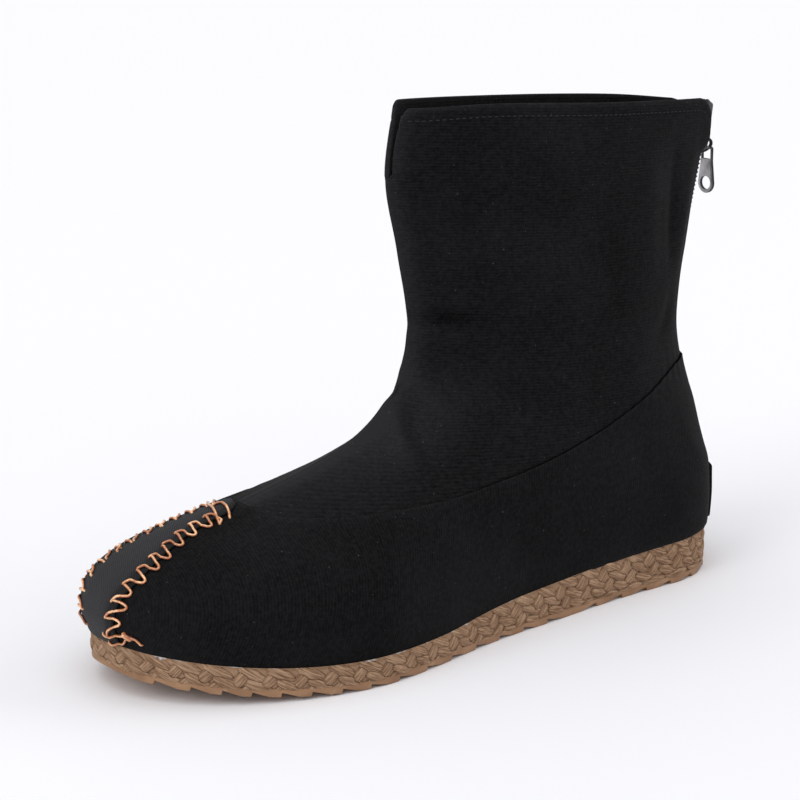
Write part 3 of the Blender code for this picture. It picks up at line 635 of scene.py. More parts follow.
def folds(points, table):
    """Relief of soft folds: each is a bell across a line through three places, fading out at both ends."""
    relief = np.zeros(points.shape[:-1])
    t = np.linspace(0, 1, FOLD_STEPS)[:, None]
    for places, width, height in table:
        first, middle, last = np.array(places, float)
        line = first * (1 - t) * (1 - 2 * t) + middle * 4 * t * (1 - t) + last * t * (2 * t - 1)
        apart = np.linalg.norm(points[..., None, :] - line, axis=-1)
        nearest = apart.argmin(axis=-1)
        distance = np.take_along_axis(apart, nearest[..., None], -1)[..., 0]
        fade = np.sin(math.pi * np.clip(t[nearest, 0], FOLD_TIP, 1 - FOLD_TIP)) ** FOLD_FADE
        relief += height * fade * bell(distance, width)
    return relief


def puckers(run, apart):
    """Shallow waves along a seam: a sine of the run, fading by e over their reach from the seam."""
    return PUCKER_DEPTH * np.sin(2 * math.pi * run / PUCKER_PITCH) * np.exp(-apart / PUCKER_REACH)


def edge_paling(apart, amount, reach):
    """Paleness beside an edge: the amount, fading by e over the reach."""
    return amount * np.exp(-apart / reach)


def wall(name, outer, inner, uv, wear_and_shading):
    """Closed sheet between two faces, with every edge turned over on a half circle.

    A column runs up the outer face, over the top, down the inner face and under the foot. One more column at
    each end lies halfway between the faces and half a thickness beyond the edge.
    """
    rows = len(outer)
    turn = np.linspace(0, math.pi, TURN_STEPS + 2)[1:-1, None, None]

    def turned(start, end, beyond):
        middle, half = (start + end) / 2, (start - end) / 2
        reach = np.linalg.norm(half, axis=-1, keepdims=True)
        return middle + half * np.cos(turn) + unit(beyond) * reach * np.sin(turn)

    top = turned(outer[-1], inner[-1], outer[-1] - outer[-2])
    foot = turned(inner[0], outer[0], outer[0] - outer[1])
    ring = np.concatenate([outer, top, inner[::-1], foot])
    across = (2 * rows + TURN_STEPS - 1 - np.arange(len(ring))) % len(ring)

    def end(edge, beside):
        middle = (ring[:, edge] + ring[across, edge]) / 2
        beyond = ring[:, edge] - ring[:, beside]
        beyond = unit(beyond + beyond[across] + TINY)
        reach = np.linalg.norm(ring[:, edge] - ring[across, edge], axis=-1, keepdims=True) / 2
        return (middle + beyond * reach)[:, None]

    grid = np.concatenate([end(0, 1), ring, end(-1, -2)], axis=1)

    def round_sheet(values):
        over, under = [values[-1:]] * TURN_STEPS, [values[:1]] * TURN_STEPS
        values = np.concatenate([values, *over, values[::-1], *under])
        return np.concatenate([values[:, :1], values, values[:, -1:]], axis=1)

    faces = grid_faces(*grid.shape[:2], loop_rows=True)
    return new_piece(name, grid, faces, uv=round_sheet(uv), marks={"wear_and_shading": round_sheet(wear_and_shading)})


def hemmed(grid):
    """The grid with a column added at each side of the back slot, which closes below the zip's lower end."""
    slot = ZIP_HALF * ease((grid[..., 2] - SLOT_FROM) / SLOT_RUN)
    lateral, medial = grid[:, :1].copy(), grid[:, -1:].copy()
    lateral[..., 1], medial[..., 1] = slot[:, :1], -slot[:, -1:]
    return np.concatenate([lateral, grid, medial], axis=1)


def upper():
    """Rows from the sole up to the seam, columns round the foot from the zip's outer to its inner side."""
    share = crowded(UPPER_COLUMNS)
    side = np.repeat([1, -1], UPPER_COLUMNS)
    share = np.concatenate([share, share[::-1]])
    low, high = feather(side, share), seam(share)
    z = low + (high - low) * np.linspace(0, 1, UPPER_ROWS)[:, None]
    step = PANEL_STEP * (1 - ease((share - STEP_FROM) / STEP_RUN))
    outer = hemmed(outside(side, share, z, step))
    normal = face_normals(outer)
    top = outer[-1:, :, 2] - outer[..., 2]
    outer = outer + normal * (folds(outer, FOOT_FOLDS) + puckers(runs(outer, 1)[-1:], top))[..., None]
    inner = outer - normal * (THIN + (WALL - THIN) * ease(top / THIN_RUN))[..., None]
    level = outside(1, share[:UPPER_COLUMNS], np.full(UPPER_COLUMNS, MAP_LEVEL))
    plan = np.interp(outer[..., 0], level[:, 0], runs(level, 0))
    turned_side = np.concatenate([side[:1], side, side[-1:]]) < 0
    uv = joined(np.where(turned_side, 2 * runs(level, 0)[-1] - plan, plan), outer[..., 2])
    wear_and_shading = edge_paling(top, *SEAM_WORN) + edge_paling(outer[..., 2] - outer[:1, :, 2], *FOOT_WORN)
    return wall("foot_cloth", outer, inner, uv, wear_and_shading)


def twill(name, pitch, lean, streak=0.07, relief=0.2, deep=TWILL_DEEP, pale_back=TWILL_PALE):
    """Black cotton twill: ribs are noise drawn out along the weave, with a faint even sine across it.

    The ribs' backs are paler, and the piece's mark makes places paler for rubbing and for painted light and
    darker for painted shade. A slow noise fades the dye, and a few specks of lint lie on it.
    """
    material, sockets, start = new_finish(name, 0.92, specular_ior_level=0.05, sheen_weight=0.025,
                                          sheen_roughness=0.45)
    u, v = start.cloth_map()
    turn = math.radians(lean)
    across, down = u * math.cos(turn) + v * math.sin(turn), v * math.cos(turn) - u * math.sin(turn)
    place = start.place()
    waver = start.noise(place, 260.0, 2.0)
    drawn = start.node("CombineXYZ", None, {0: across * (1.25 / pitch), 1: down * 0.22})
    streaks = start.noise(drawn, 1.0, 3.0, 0.55).between(0.3, 0.7)
    ribs = (across * (2 * math.pi / pitch) + waver * 5.0).wave()
    picks = (down * (2 * math.pi / (0.9 * pitch)) + waver * 4.0).wave()
    fuzz = start.noise(place, 1700.0, 3.0, 0.7)
    fade = start.noise(place, 24.0, 3.0).between(0.35, 0.7)
    wear_and_shading = start.mark("wear_and_shading")
    slubs = start.noise(place, 620.0, 2.0).between(0.35, 0.65)
    pale = streaks * streak + ribs * 0.14 + fuzz * 0.5 + slubs * 0.16 + fade * 0.15
    # The piece's mark makes places paler for rubbing and for painted light, and darker for painted shade.
    pale = pale + wear_and_shading * (0.25 + fuzz * 0.6) - 0.26
    cloth_colour = pale.clamped().colours(deep, pale_back)
    lint = start.noise(place, 1250.0, 0.0).between(0.85, 0.88) * 0.2
    lint.colours(cloth_colour, LINT).into(sockets["Base Color"])
    (streaks * 0.35 + ribs * 0.4 + picks * 0.3 + fuzz * 0.7).bump(0.6, relief).into(sockets["Normal"])
    return material


sit(upper(), twill("foot_twill", **FOOT_RIBS), node="upper")

# Insole: a thin footbed covered in black cloth, lying on the sole inside the upper.
# Its edge is skived round and its top is a little dished under the heel.
INSOLE, INSOLE_INSET, INSOLE_COLUMNS, INSOLE_DISH, DISH_RUN = 3.0, 3.4, 90, 0.8, 120
INSOLE_EDGE = {"inset": (4.0, 0.7, 0.15, 0.0, 0.3, 4.0), "rise": (1.0, 0.95, 0.75, 0.4, 0.02, 0.0)}
INSOLE_RIBS = {"pitch": 1.2, "lean": 30.0}


def insole():
    """Pad in the foot of the cloth: its edge is the cloth's outer face drawn in, and its top is dished."""
    share = crowded(INSOLE_COLUMNS)
    z = feather(np.ones(INSOLE_COLUMNS), share)
    outer, inner = outside(1, share, z)[:, :2], outside(-1, share, z)[:, :2]
    edge, normal = closed_edge(outer, inner)
    foot = both_ways(z)
    ends = outer[0, 0] + LINE_END + INSOLE_INSET, outer[-1, 0] - LINE_END - INSOLE_INSET
    line = np.clip(both_ways(outer[:, 0]), *ends)
    dish = INSOLE_DISH * np.sin(math.pi * np.clip(line / DISH_RUN, 0, 1))
    grid = padded(edge - normal * INSOLE_INSET, normal, INSOLE_EDGE, foot, foot + INSOLE,
                  line, foot, foot + INSOLE - dish)
    unworn = {"wear_and_shading": np.zeros(grid.shape[:2])}
    return new_piece("footbed", grid, ring_faces(grid), uv=grid[..., :2], marks=unworn)


sit(insole(), twill("footbed_cloth", **INSOLE_RIBS), node="insole")

# Shaft: two side panels of black cotton twill, sewn together down the front crest and folded in at the zip.
# Their hemmed top stands open, with a notch at the front, and their foot is tucked behind the upper.
RIM_REAR, RIM_FRONT, NOTCH_BOTTOM, NOTCH_RUN = 183.0, 193.7, 167.0, 0.9
FRONT_SINK, REAR_SINK, SINK_RUN = 2.4, 1.7, 24.0
FLAP_CUT, FLAP_RUN = {1: ((167, 184), (2.1, 0.5)), -1: ((167, 184), (-0.3, -0.3))}, 9.0
REAR_EDGE = {"z": (126, 149, 161, 167.5, 174, 183), "out": (0, -1.2, -1.3, 2.4, 1.9, 0.6)}
REAR_SHARE, SLOT_SHARE = 0.05, 0.35
SHAFT_COLUMNS, SHAFT_ROWS = 130, 100
TUCK, TUCK_IN, TUCK_FRONT, TUCK_MORE = 4.5, 0.65, 0.3, 1.6
TUCK_FROM, TUCK_RUN, TUCK_ABOVE, TUCK_EASE, MORE_EASE = 0.35, 0.3, 0.7, 1.2, 3.0
SHAFT_WALL, HEM_WALL, HEM_EASE = 1.6, 1.15, 6.0
RIM_LONG, CORNER_FRONT, CORNER_REAR = 150.0, 2.5, 9.0
CREST_HALF, CREST_OUT, LIP, INNER_LEAST, ZIP_REACH = 0.06, 0.35, 0.9, 0.35, 30
HEM_DOWN, HEM_DIP, HEM_WIDTH = 4.0, 0.3, 0.7
RIM_WEAR_AND_LIGHT, SLOT_WORN, CREST_WEAR_AND_LIGHT, CREST_REACH, FOLD_WEAR_AND_SHADE = (0.5, 0.8), (0.25, 2.0), 1.1, 6.0, 0.2
VAMP_LIGHT, VAMP_FROM, VAMP_RUN, VAMP_Z, VAMP_REACH = 0.9, 0.7, 0.25, 76, 18
STITCH_PITCH, STITCH_LONG, STITCH_RADIUS, STITCH_END = 2.6, 1.8, 0.22, 4.0
STITCH_ARCH, STITCH_SUNK, STITCH_STEPS, STITCH_SIDES = 1.6, 0.7, 7, 6
SIDES = {"outer": 1, "inner": -1}
SHAFT_FOLDS = (
    (((140.5, 1.5, 115.2), (129.8, 8.6, 114.8), (118.0, 14.0, 114.2)), 2.7, -1.6),
    (((141.5, 1.5, 109.0), (131.0, 8.6, 108.0), (121.0, 13.5, 107.0)), 3.4, 0.96),
    (((147.0, -0.5, 91.5), (148.0, 9.0, 78.0), (151.5, 24.0, 62.5)), 3.1, -2.08),
    (((152.5, 2.0, 84.0), (155.0, 10.0, 73.5), (158.0, 18.0, 66.0)), 3.8, 1.44),
    (((143.5, 1.2, 96.0), (139.8, 8.0, 87.4), (135.0, 15.5, 77.0)), 3.6, 1.12),
    (((120.0, 18.0, 92.0), (104.0, 24.0, 84.0), (88.0, 29.0, 80.0)), 5.1, -0.5),
    (((20.0, 9.0, 172.0), (22.0, 13.0, 148.0), (25.0, 16.0, 122.0)), 4.2, -1.44),
    (((34.0, 12.0, 170.0), (37.0, 16.0, 146.0), (40.0, 20.0, 118.0)), 6.0, 1.12),
    (((8.0, 7.5, 168.0), (12.0, 10.0, 146.0), (18.0, 12.5, 120.0)), 3.4, 0.8),
    (((60.0, 16.0, 160.0), (62.0, 20.0, 132.0), (60.0, 26.0, 100.0)), 9.3, -0.96),
    (((128.0, 10.0, 182.0), (124.0, 13.0, 160.0), (122.0, 15.5, 138.0)), 6.8, -0.8),
    (((24.0, 15.0, 112.0), (30.0, 20.0, 102.0), (40.0, 25.0, 96.0)), 4.2, -0.96),
    (((140.0, -1.5, 112.0), (130.0, -8.6, 110.5), (119.0, -13.5, 111.5)), 2.9, -1.44),
    (((147.0, -0.8, 90.0), (147.5, -9.0, 77.0), (150.0, -22.0, 63.0)), 3.1, -1.76),
    (((142.5, -1.2, 98.0), (138.0, -8.0, 90.0), (132.0, -15.0, 82.0)), 3.6, 1.12),
    (((22.0, -9.5, 170.0), (24.0, -13.0, 146.0), (28.0, -17.0, 120.0)), 4.7, -1.28),
    (((66.0, -16.5, 160.0), (64.0, -20.0, 130.0), (66.0, -25.0, 98.0)), 9.3, -0.96),
)
SHAFT_RIBS, RIM_SLOPE = {"pitch": 1.1, "lean": 90.0, "streak": 0.14}, 0.071
THREAD_BLACK, THREAD_DEEP = (0.045, 0.045, 0.048, 1), (0.012, 0.012, 0.013, 1)


def rim(share, side):
    """Height of the collar: rising to the front, with a round corner at each end.

    The outer panel sinks a little towards the notch, and the inner one towards the zip.
    """
    ahead, behind = (1 - share) * RIM_LONG, share * RIM_LONG
    sink, apart = (FRONT_SINK, ahead) if side > 0 else (REAR_SINK, behind)
    drop = sink * bell(apart, SINK_RUN)
    for reach, apart in ((CORNER_FRONT, ahead), (CORNER_REAR, behind)):
        short = np.clip(reach - apart, 0, reach)
        drop = drop + reach - np.sqrt(reach ** 2 - short ** 2)
    return RIM_REAR + (RIM_FRONT - RIM_REAR) * share - drop


def shaft_panel(name, side):
    """Rows from behind the upper's edge to the collar, columns from the zip to the crest.

    Gives the piece, and for its stitches the outer face, the normals and the depths below the collar.
    """
    share = crowded(SHAFT_COLUMNS)
    low, high = seam(share) - TUCK, rim(share, side)
    z = low + (high - low) * np.linspace(0, 1, SHAFT_ROWS)[:, None]
    outer = outside(side, share, z)
    cut = np.interp(z, *FLAP_CUT[side]) * ease((z - NOTCH_BOTTOM) / NOTCH_RUN)
    outer[..., 0] -= cut * ease(1 - (form("front", z) - outer[..., 0]) / FLAP_RUN)
    rear_out = smooth(REAR_EDGE["z"], REAR_EDGE["out"], z)
    outer[..., 0] -= rear_out * ease(1 - share / REAR_SHARE)
    open_front = ease((z[:, -1:] - NOTCH_BOTTOM) / NOTCH_RUN)
    crest = outer[:, -1:].copy()
    tip = form("front_tip", z[:, -1:])
    crest[..., 0] += CREST_OUT * (1 - open_front)
    crest[..., 1] = centre(crest[..., 0]) + side * (CREST_HALF + (tip - LIP - CREST_HALF) * open_front)
    rear = outer[:, :1].copy()
    rear[..., 0] += (1 - SLOT_SHARE) * np.minimum(rear_out[:, :1], 0)
    rear[..., 1] = side * ZIP_HALF
    outer = np.concatenate([rear, outer, crest], axis=1)
    normal = face_normals(outer) * side
    shares = np.concatenate([[0], share, [1]])
    under = seam(shares) - outer[..., 2]
    edge_in = TUCK_IN + (TUCK_FRONT - TUCK_IN) * ease((shares - TUCK_FROM) / TUCK_RUN)
    tuck = edge_in * ease((under + TUCK_ABOVE) / TUCK_EASE) + TUCK_MORE * ease(under / MORE_EASE)
    below = np.pad(high, 1, mode="edge") - outer[..., 2]
    hem = HEM_DIP * bell(below - HEM_DOWN, HEM_WIDTH)
    round_run = runs(outer, 1)
    creases = folds(outer, SHAFT_FOLDS)
    outer = outer + normal * (creases + puckers(round_run, np.abs(under)) - tuck - hem)[..., None]
    inner = outer - normal * (HEM_WALL + (SHAFT_WALL - HEM_WALL) * ease(below / HEM_EASE))[..., None]
    clear = np.where(outer[..., 0] < ZIP_REACH, ZIP_HALF, INNER_LEAST)
    middle = centre(inner[..., 0])
    inner[..., 1] = side * np.maximum(side * (inner[..., 1] - middle), clear) + middle
    # Paler band along the front crest: partly wear, partly a painted highlight where the crest faces the
    # light.
    wear_and_shading = CREST_WEAR_AND_LIGHT * bell(round_run[:, -1:] - round_run, CREST_REACH)
    # Fold relief also colours the cloth: troughs darker as painted shade, ridges paler as painted light with
    # some wear.
    # Paler along the collar: partly wear, partly a painted highlight on the rim.
    wear_and_shading += edge_paling(below, *RIM_WEAR_AND_LIGHT) + edge_paling(round_run, *SLOT_WORN) + FOLD_WEAR_AND_SHADE * creases
    # Painted light: a paler patch low on the instep, where its front faces the light.
    wear_and_shading += VAMP_LIGHT * ease((shares - VAMP_FROM) / VAMP_RUN) * bell(outer[..., 2] - VAMP_Z, VAMP_REACH)
    uv = joined(round_run, outer[..., 2] - RIM_SLOPE * outer[..., 0])
    return wall(name, outer, inner, uv, wear_and_shading), outer, normal, below


def tubes(name, paths, ups, radius, sides):
    """One piece from many round threads, each a row of as many points, mapped round and along them.

    A ring lies in the plane of the way up and of the path's own cross direction, and the ring at each end
    shrinks to a point. The mark is the cosine of the way round: 1 along a thread's crown and -1 underneath.
    """
    ahead = unit(np.gradient(paths, axis=-2))
    cross = unit(np.cross(ahead, ups))
    rise = np.cross(cross, ahead)
    turn = np.linspace(0, 2 * math.pi, sides, endpoint=False)
    radius = np.broadcast_to(radius, paths.shape[:-1]).copy()
    radius[..., [0, -1]] = 0
    ring = np.cos(turn)[:, None] * rise[..., None, :] + np.sin(turn)[:, None] * cross[..., None, :]
    grid = paths[..., None, :] + radius[..., None, None] * ring
    uv = joined(np.arange(sides) / sides, runs(paths, 1)[..., None])
    # The crown mark places the copper thread's painted highlight and painted shade.
    crown = np.broadcast_to(np.cos(turn), grid.shape[:-1])
    return new_piece(name, grid, ring_faces(grid), uv=uv, marks={"crown": crown})


def hem_stitches(name, outer, normal, below):
    """Short threads along the hem, a row of points below the collar, dipping into the cloth at each end."""
    row = np.abs(below - HEM_DOWN).argmin(axis=0)
    columns = np.arange(outer.shape[1])
    line, up = outer[row, columns], normal[row, columns]
    lower = below[row - 1, columns] - below[row, columns]
    share = np.clip((HEM_DOWN - below[row, columns]) / lower, -1, 1)
    line = line + (outer[row - 1, columns] - line) * share[:, None]
    run = runs(line, 0)
    starts = np.arange(STITCH_END, run[-1] - STITCH_END, STITCH_PITCH)[:, None]
    t = np.linspace(0, 1, STITCH_STEPS)
    at = starts + STITCH_LONG * t
    places, ups = (joined(*(np.interp(at, run, v) for v in part.T)) for part in (line, up))
    lift = STITCH_RADIUS * (np.sin(math.pi * t) * STITCH_ARCH - STITCH_SUNK)
    return tubes(name, places + ups * lift[:, None], ups, STITCH_RADIUS, STITCH_SIDES)


def black_thread():
    """Dull black sewing thread, its twist a fine slanting sine."""
    material, sockets, start = new_finish("black_thread", 0.85, specular_ior_level=0.1)
    around, length = start.cloth_map()
    twist = (around * (4 * math.pi) + length * 14.0).wave()
    twist.colours(THREAD_DEEP, THREAD_BLACK).into(sockets["Base Color"])
    twist.bump(0.4, 0.06).into(sockets["Normal"])
    return material


shaft_twill, hem_thread = twill("shaft_twill", **SHAFT_RIBS), black_thread()
for label, side in SIDES.items():
    panel, panel_face, panel_normal, panel_below = shaft_panel("shaft_" + label, side)
    sit(panel, shaft_twill, node="shaft")
    sit(hem_stitches("hem_" + label, panel_face, panel_normal, panel_below), hem_thread)

# Toe strip: a band of ribbed black cotton over the middle of the toe, folded under along both edges.
# It is sewn down by hand with thick copper-coloured thread in a zigzag over each edge, knotted at the sole.
STRIP = {"share": (0, 0.15, 0.3, 0.39, 0.52, 0.66, 0.75, 1.0),
         "middle": (-1.0, -0.6, 0.35, 0.0, -1.8, -3.6, -4.5, -4.4),
         "half": (9.5, 10.4, 11.8, 11.5, 10.2, 8.6, 7.7, 6.7)}
STRIP_TOP, STRIP_ROUND, STRIP_THICK, STRIP_LIFT, STRIP_ROOT = 57.6, 0.1, 1.5, 1.0, 0.1
STRIP_ROWS, STRIP_COLUMNS, STRIP_END = 90, 41, 0.995
STRIP_NEAR, STRIP_FAR, HALVINGS, FINE = -2.0, 30.0, 40, 600
STRIP_CROWD, STRIP_TAPER, TAPER_POWER = 0.92, 0.3, 4
STRIP_WORN, EDGE_SHADE, EDGE_FROM, EDGE_RUN = 0.35, 1.6, 0.66, 0.22
NUDGE_UP, NUDGE_OVER = 0.01, 0.4
STRIP_RIB, STRIP_SLANT = 0.72, 38.0
STRIP_DEEP, STRIP_PALE = (0.010, 0.010, 0.011, 1), (0.040, 0.040, 0.044, 1)
SEW = {"along": (-0.01, 0.02, 0.18, 0.37, 0.53, 0.66, 0.80, 0.91, 0.99, 1.02, 1.01),
       "across": (-2.5, -2.0, -1.6, -0.8, 1.0, 2.6, 2.9, 2.3, 0.6, -1.4, -2.3),
       "lift": (-1.0, 0.8, 1.0, 1.0, 1.3, 1.0, 1.0, 1.0, 1.2, 0.9, -1.0)}
SEW_EDGES = {1: (9, 0.047, 0.722, 0.0), -1: (11, 0.04, 0.82, -1.9)}
SEW_RADIUS, SEW_STEPS, SEW_SIDES, SEW_SEED, SEW_SOFT = 0.54, 46, 8, 5, 2
SEW_BESIDE, SEW_STEP, SEW_SINK = 0.5, 1.6, 0.85
SEW_CLOSE, CLOSE_FROM, CLOSE_RUN = 0.4, 0.88, 0.12
ODD_SIZE, ODD_DRIFT, ODD_FAR = 0.1, 0.07, 0.25
SEW_ENDS = (
    ((0.806, 0.9), (0.836, 1.6), (0.862, 3.2), (0.862, 5.2), (0.84, 6.6)),
    ((0.95, -12.5), (0.915, -8.8), (0.885, -1.8), (0.86, 2.8), (0.84, 6.6)),
    ((0.905, -4.2), (0.935, -7.2), (0.96, -9.8), (0.975, -10.8), (0.99, -11.5)),
    ((0.905, -4.2), (0.93, -3.8), (0.94, -2.4), (0.93, 1.8), (0.90, 6.0)),
    ((0.055, 4.2), (0.045, 6.0), (0.045, 8.6), (0.047, 11.5), (0.05, 14.0)),
    ((0.045, 14.4), (0.04, 15.8), (0.03, 17.2), (0.015, 17.9), (0.0, 18.4)),
    ((0.035, 13.4), (0.012, 11.9), (0.0, 10.4), (0.0, 7.6), (0.012, 5.4)),
    ((0.055, 13.2), (0.05, 13.7), (0.045, 14.2), (0.04, 14.7), (0.035, 15.2)),
)
END_THICK = (1.0, 1.0, 1.0, 1.0, 1.0, 0.9, 0.9, 2.0)
END_LIFT, END_DIVE, DIVE_POWER = 1.3, 2.0, 12
# The middle copper colour is the thread's own; the first is a painted highlight on each thread's crown, the
# last painted shade down its sides.
COPPER_HIGHLIGHT, COPPER, COPPER_SHADE = (0.90, 0.55, 0.30, 1), (0.46, 0.15, 0.043, 1), (0.09, 0.018, 0.006, 1)

toe_z = np.linspace(float(sole_top(LENGTH)) + STRIP_LIFT, STRIP_TOP, FINE)
toe_line = joined(form("front", toe_z), toe_z)
toe_run = runs(toe_line, 0)
toe_ahead = unit(np.gradient(toe_line, axis=0))


def over_toe(share, offset):
    """Point of the upper's face, at a share up the toe's centre line and an offset in millimetres across it.

    The depth behind the centre line, along its normal, is halved until the point lies on the form.
    """
    share, offset = np.broadcast_arrays(share, offset)
    x0, z0, ahead_x, ahead_z = (np.interp(share * toe_run[-1], toe_run, v)
                                for v in (*toe_line.T, *toe_ahead.T))
    side = np.where(offset >= 0, 1, -1)
    near, far = np.full(share.shape, STRIP_NEAR), np.full(share.shape, STRIP_FAR)
    for _ in range(HALVINGS):
        depth = (near + far) / 2
        x, z = x0 - ahead_z * depth, z0 + ahead_x * depth
        within = (np.abs(offset) < half_width(x, z, side)) & (x < form("front", z))
        near, far = np.where(within, near, depth), np.where(within, depth, far)
    return joined(x, centre(x0) + offset, z)


def toe_up(share, offset):
    """Outward normal there, from the points a little to each side."""
    up = over_toe(share + NUDGE_UP, offset) - over_toe(share - NUDGE_UP, offset)
    over = over_toe(share, offset + NUDGE_OVER) - over_toe(share, offset - NUDGE_OVER)
    return unit(np.cross(over, up))


def strip_middle(share):
    return smooth(STRIP["share"], STRIP["middle"], share)


def strip_half(share):
    """Half width of the strip, closing on a half circle at its top end."""
    end = np.clip((share - (1 - STRIP_ROUND)) / STRIP_ROUND, 0, 1)
    return smooth(STRIP["share"], STRIP["half"], share) * np.sqrt(1 - end ** 2)


def toe_strip():
    """Rows up the toe, columns across the band; its folded edges are a little thinner than its middle."""
    turn = np.linspace(0, math.pi / 2, STRIP_ROWS // 4)[1:]
    share = np.concatenate([np.linspace(0, 1 - STRIP_ROUND, STRIP_ROWS - len(turn)),
                            1 - STRIP_ROUND * (1 - STRIP_END * np.sin(turn))])[:, None]
    widest = math.pi / 2 * STRIP_CROWD
    across = np.sin(np.linspace(-1, 1, STRIP_COLUMNS) * widest) / math.sin(widest)
    offset = strip_middle(share) + strip_half(share) * -across
    under = over_toe(share, offset)
    up = toe_up(share, offset)
    thick = GAP + STRIP_THICK * (1 - STRIP_TAPER * across ** TAPER_POWER)
    uv = joined(offset, share * toe_run[-1])
    # Painted shade: the strip's folded edges are coloured darker; the rest is a little paler.
    wear_and_shading = STRIP_WORN - EDGE_SHADE * ease((np.abs(across) - EDGE_FROM) / EDGE_RUN)
    return wall("toe_band", under + up * thick[..., None], under + up * STRIP_ROOT, uv,
                np.broadcast_to(wear_and_shading, offset.shape))


def ribbed():
    """Ribbed black cotton: a slanting sine broken up by noise, grey bloom in the middle, painted shade at the
    edges.
    """
    material, sockets, start = new_finish("ribbed_cotton", 0.8, specular_ior_level=0.2, sheen_weight=0.06,
                                          sheen_roughness=0.4)
    across, length = start.cloth_map()
    place = start.place()
    fuzz = start.noise(place, 1300.0, 3.0, 0.7)
    waver = start.noise(place, 300.0)
    slant = math.radians(STRIP_SLANT)
    run = length * math.cos(slant) + across * math.sin(slant)
    ribs = (run * (2 * math.pi / STRIP_RIB) + waver * 3.0).wave()
    pale = ribs * 0.34 + fuzz * 0.55 + start.mark("wear_and_shading") * 0.3 - 0.1
    pale.clamped().colours(STRIP_DEEP, STRIP_PALE).into(sockets["Base Color"])
    (ribs + fuzz * 0.8).bump(0.7, 0.25).into(sockets["Normal"])
    return material


def on_toe(share, offset, lift):
    """Point and normal above the toe: on the strip's face inside its edge, and on the cloth beyond it."""
    apart = np.abs(offset - strip_middle(share))
    on_strip = ease((strip_half(share) + SEW_BESIDE - apart) / SEW_STEP)
    up = toe_up(share, offset)
    return over_toe(share, offset) + up * (lift + on_strip * (GAP + STRIP_THICK * SEW_SINK))[..., None], up


def softened(values):
    """Values along a thread, each replaced a few times by the mean of its neighbours and twice itself."""
    for _ in range(SEW_SOFT):
        values = np.concatenate([values[:1], (values[:-2] + 2 * values[1:-1] + values[2:]) / 4, values[-1:]])
    return values


def sewing(edge):
    """Stitches over one edge of the strip, one path each, with both ends in the strip.

    From its hole in the strip a stitch runs down to the cloth, turns round and climbs to the next hole, where
    the next one starts. The places are shares of a pitch along and millimetres across the edge.
    """
    chance = np.random.default_rng(SEW_SEED + edge)
    knots = np.linspace(0, 1, len(SEW["along"]))
    t = np.linspace(0, 1, SEW_STEPS)
    along_edge, across, lift = (softened(smooth(knots, SEW[key], t)) for key in ("along", "across", "lift"))
    count, first, last, shift = SEW_EDGES[edge]
    size, drift, far = chance.normal(size=(3, count, 1))
    beat = np.arange(count)[:, None] + along_edge + ODD_DRIFT * drift
    share = first + (last - first) * beat / (count - 1)
    close = 1 - SEW_CLOSE * ease((share - CLOSE_FROM) / CLOSE_RUN)
    half = smooth(STRIP["share"], STRIP["half"], share) * close
    offset = strip_middle(share) + edge * (half + across * (1 + ODD_SIZE * size) + ODD_FAR * far + shift)
    return on_toe(share, offset, SEW_RADIUS * lift)


def loose_ends():
    """Ends of the thread at the strip's top and the knot at its foot, each through its places on the toe."""
    shares, offsets = np.array(SEW_ENDS).transpose(2, 0, 1)
    knots, t = np.linspace(0, 1, shares.shape[1]), np.linspace(0, 1, SEW_STEPS)
    share, offset = (np.stack([smooth(knots, v, t) for v in places]) for places in (shares, offsets))
    lift = END_LIFT - END_DIVE * np.abs(2 * t - 1) ** DIVE_POWER
    return on_toe(share, offset, SEW_RADIUS * lift)


def copper_thread():
    """Glossy copper-coloured silk with faint plies: painted highlight on top, red-brown painted shade on its
    sides.
    """
    material, sockets, start = new_finish("copper_thread", 0.3, specular_ior_level=0.6, coat_weight=0.5,
                                          coat_roughness=0.12)
    around, length = start.cloth_map()
    place = start.place()
    plies = (around * (4 * math.pi) + length * 4.2 + start.noise(place, 500.0) * 2.0).wave()
    tone = start.noise(place, 160.0, 2.0).between(0.35, 0.65)
    crown = start.mark("crown") + plies * 0.15 + tone * 0.35
    # Painted shade down the thread's sides, painted highlight along its crown.
    shaded_sides = crown.between(0.0, 1.0).colours(COPPER_SHADE, COPPER)
    crown.between(0.96, 1.3).colours(shaded_sides, COPPER_HIGHLIGHT).into(sockets["Base Color"])
    plies.bump(0.2, 0.08).into(sockets["Normal"])
    return material


sit(toe_strip(), ribbed(), node="toe_strip")
sewn_paths, sewn_ups = (np.concatenate(v) for v in zip(sewing(1), sewing(-1), loose_ends()))
thread_radius = np.full((len(sewn_paths), SEW_STEPS), SEW_RADIUS)
thread_radius[-len(END_THICK):] *= np.array(END_THICK)[:, None]
sit(tubes("strip_sewing", sewn_paths, sewn_ups, thread_radius, SEW_SIDES), copper_thread())

# Heel patch: a square of the same twill low at the centre back, sewn over the zip's lower end.
# Its edges are turned under, and its foot is caught between the upper and the sole.
PATCH_TOP, PATCH_SHARE, PATCH_THICK, PATCH_ROOT = 38.5, 0.016, 1.3, 0.1
PATCH_ROWS, PATCH_COLUMNS = 30, 24
PATCH_TOP_WORN, PATCH_LOW_WORN = (0.5, 1.0), (0.25, 1.0)
PATCH_RIBS = {"pitch": 1.15, "lean": 20.0}


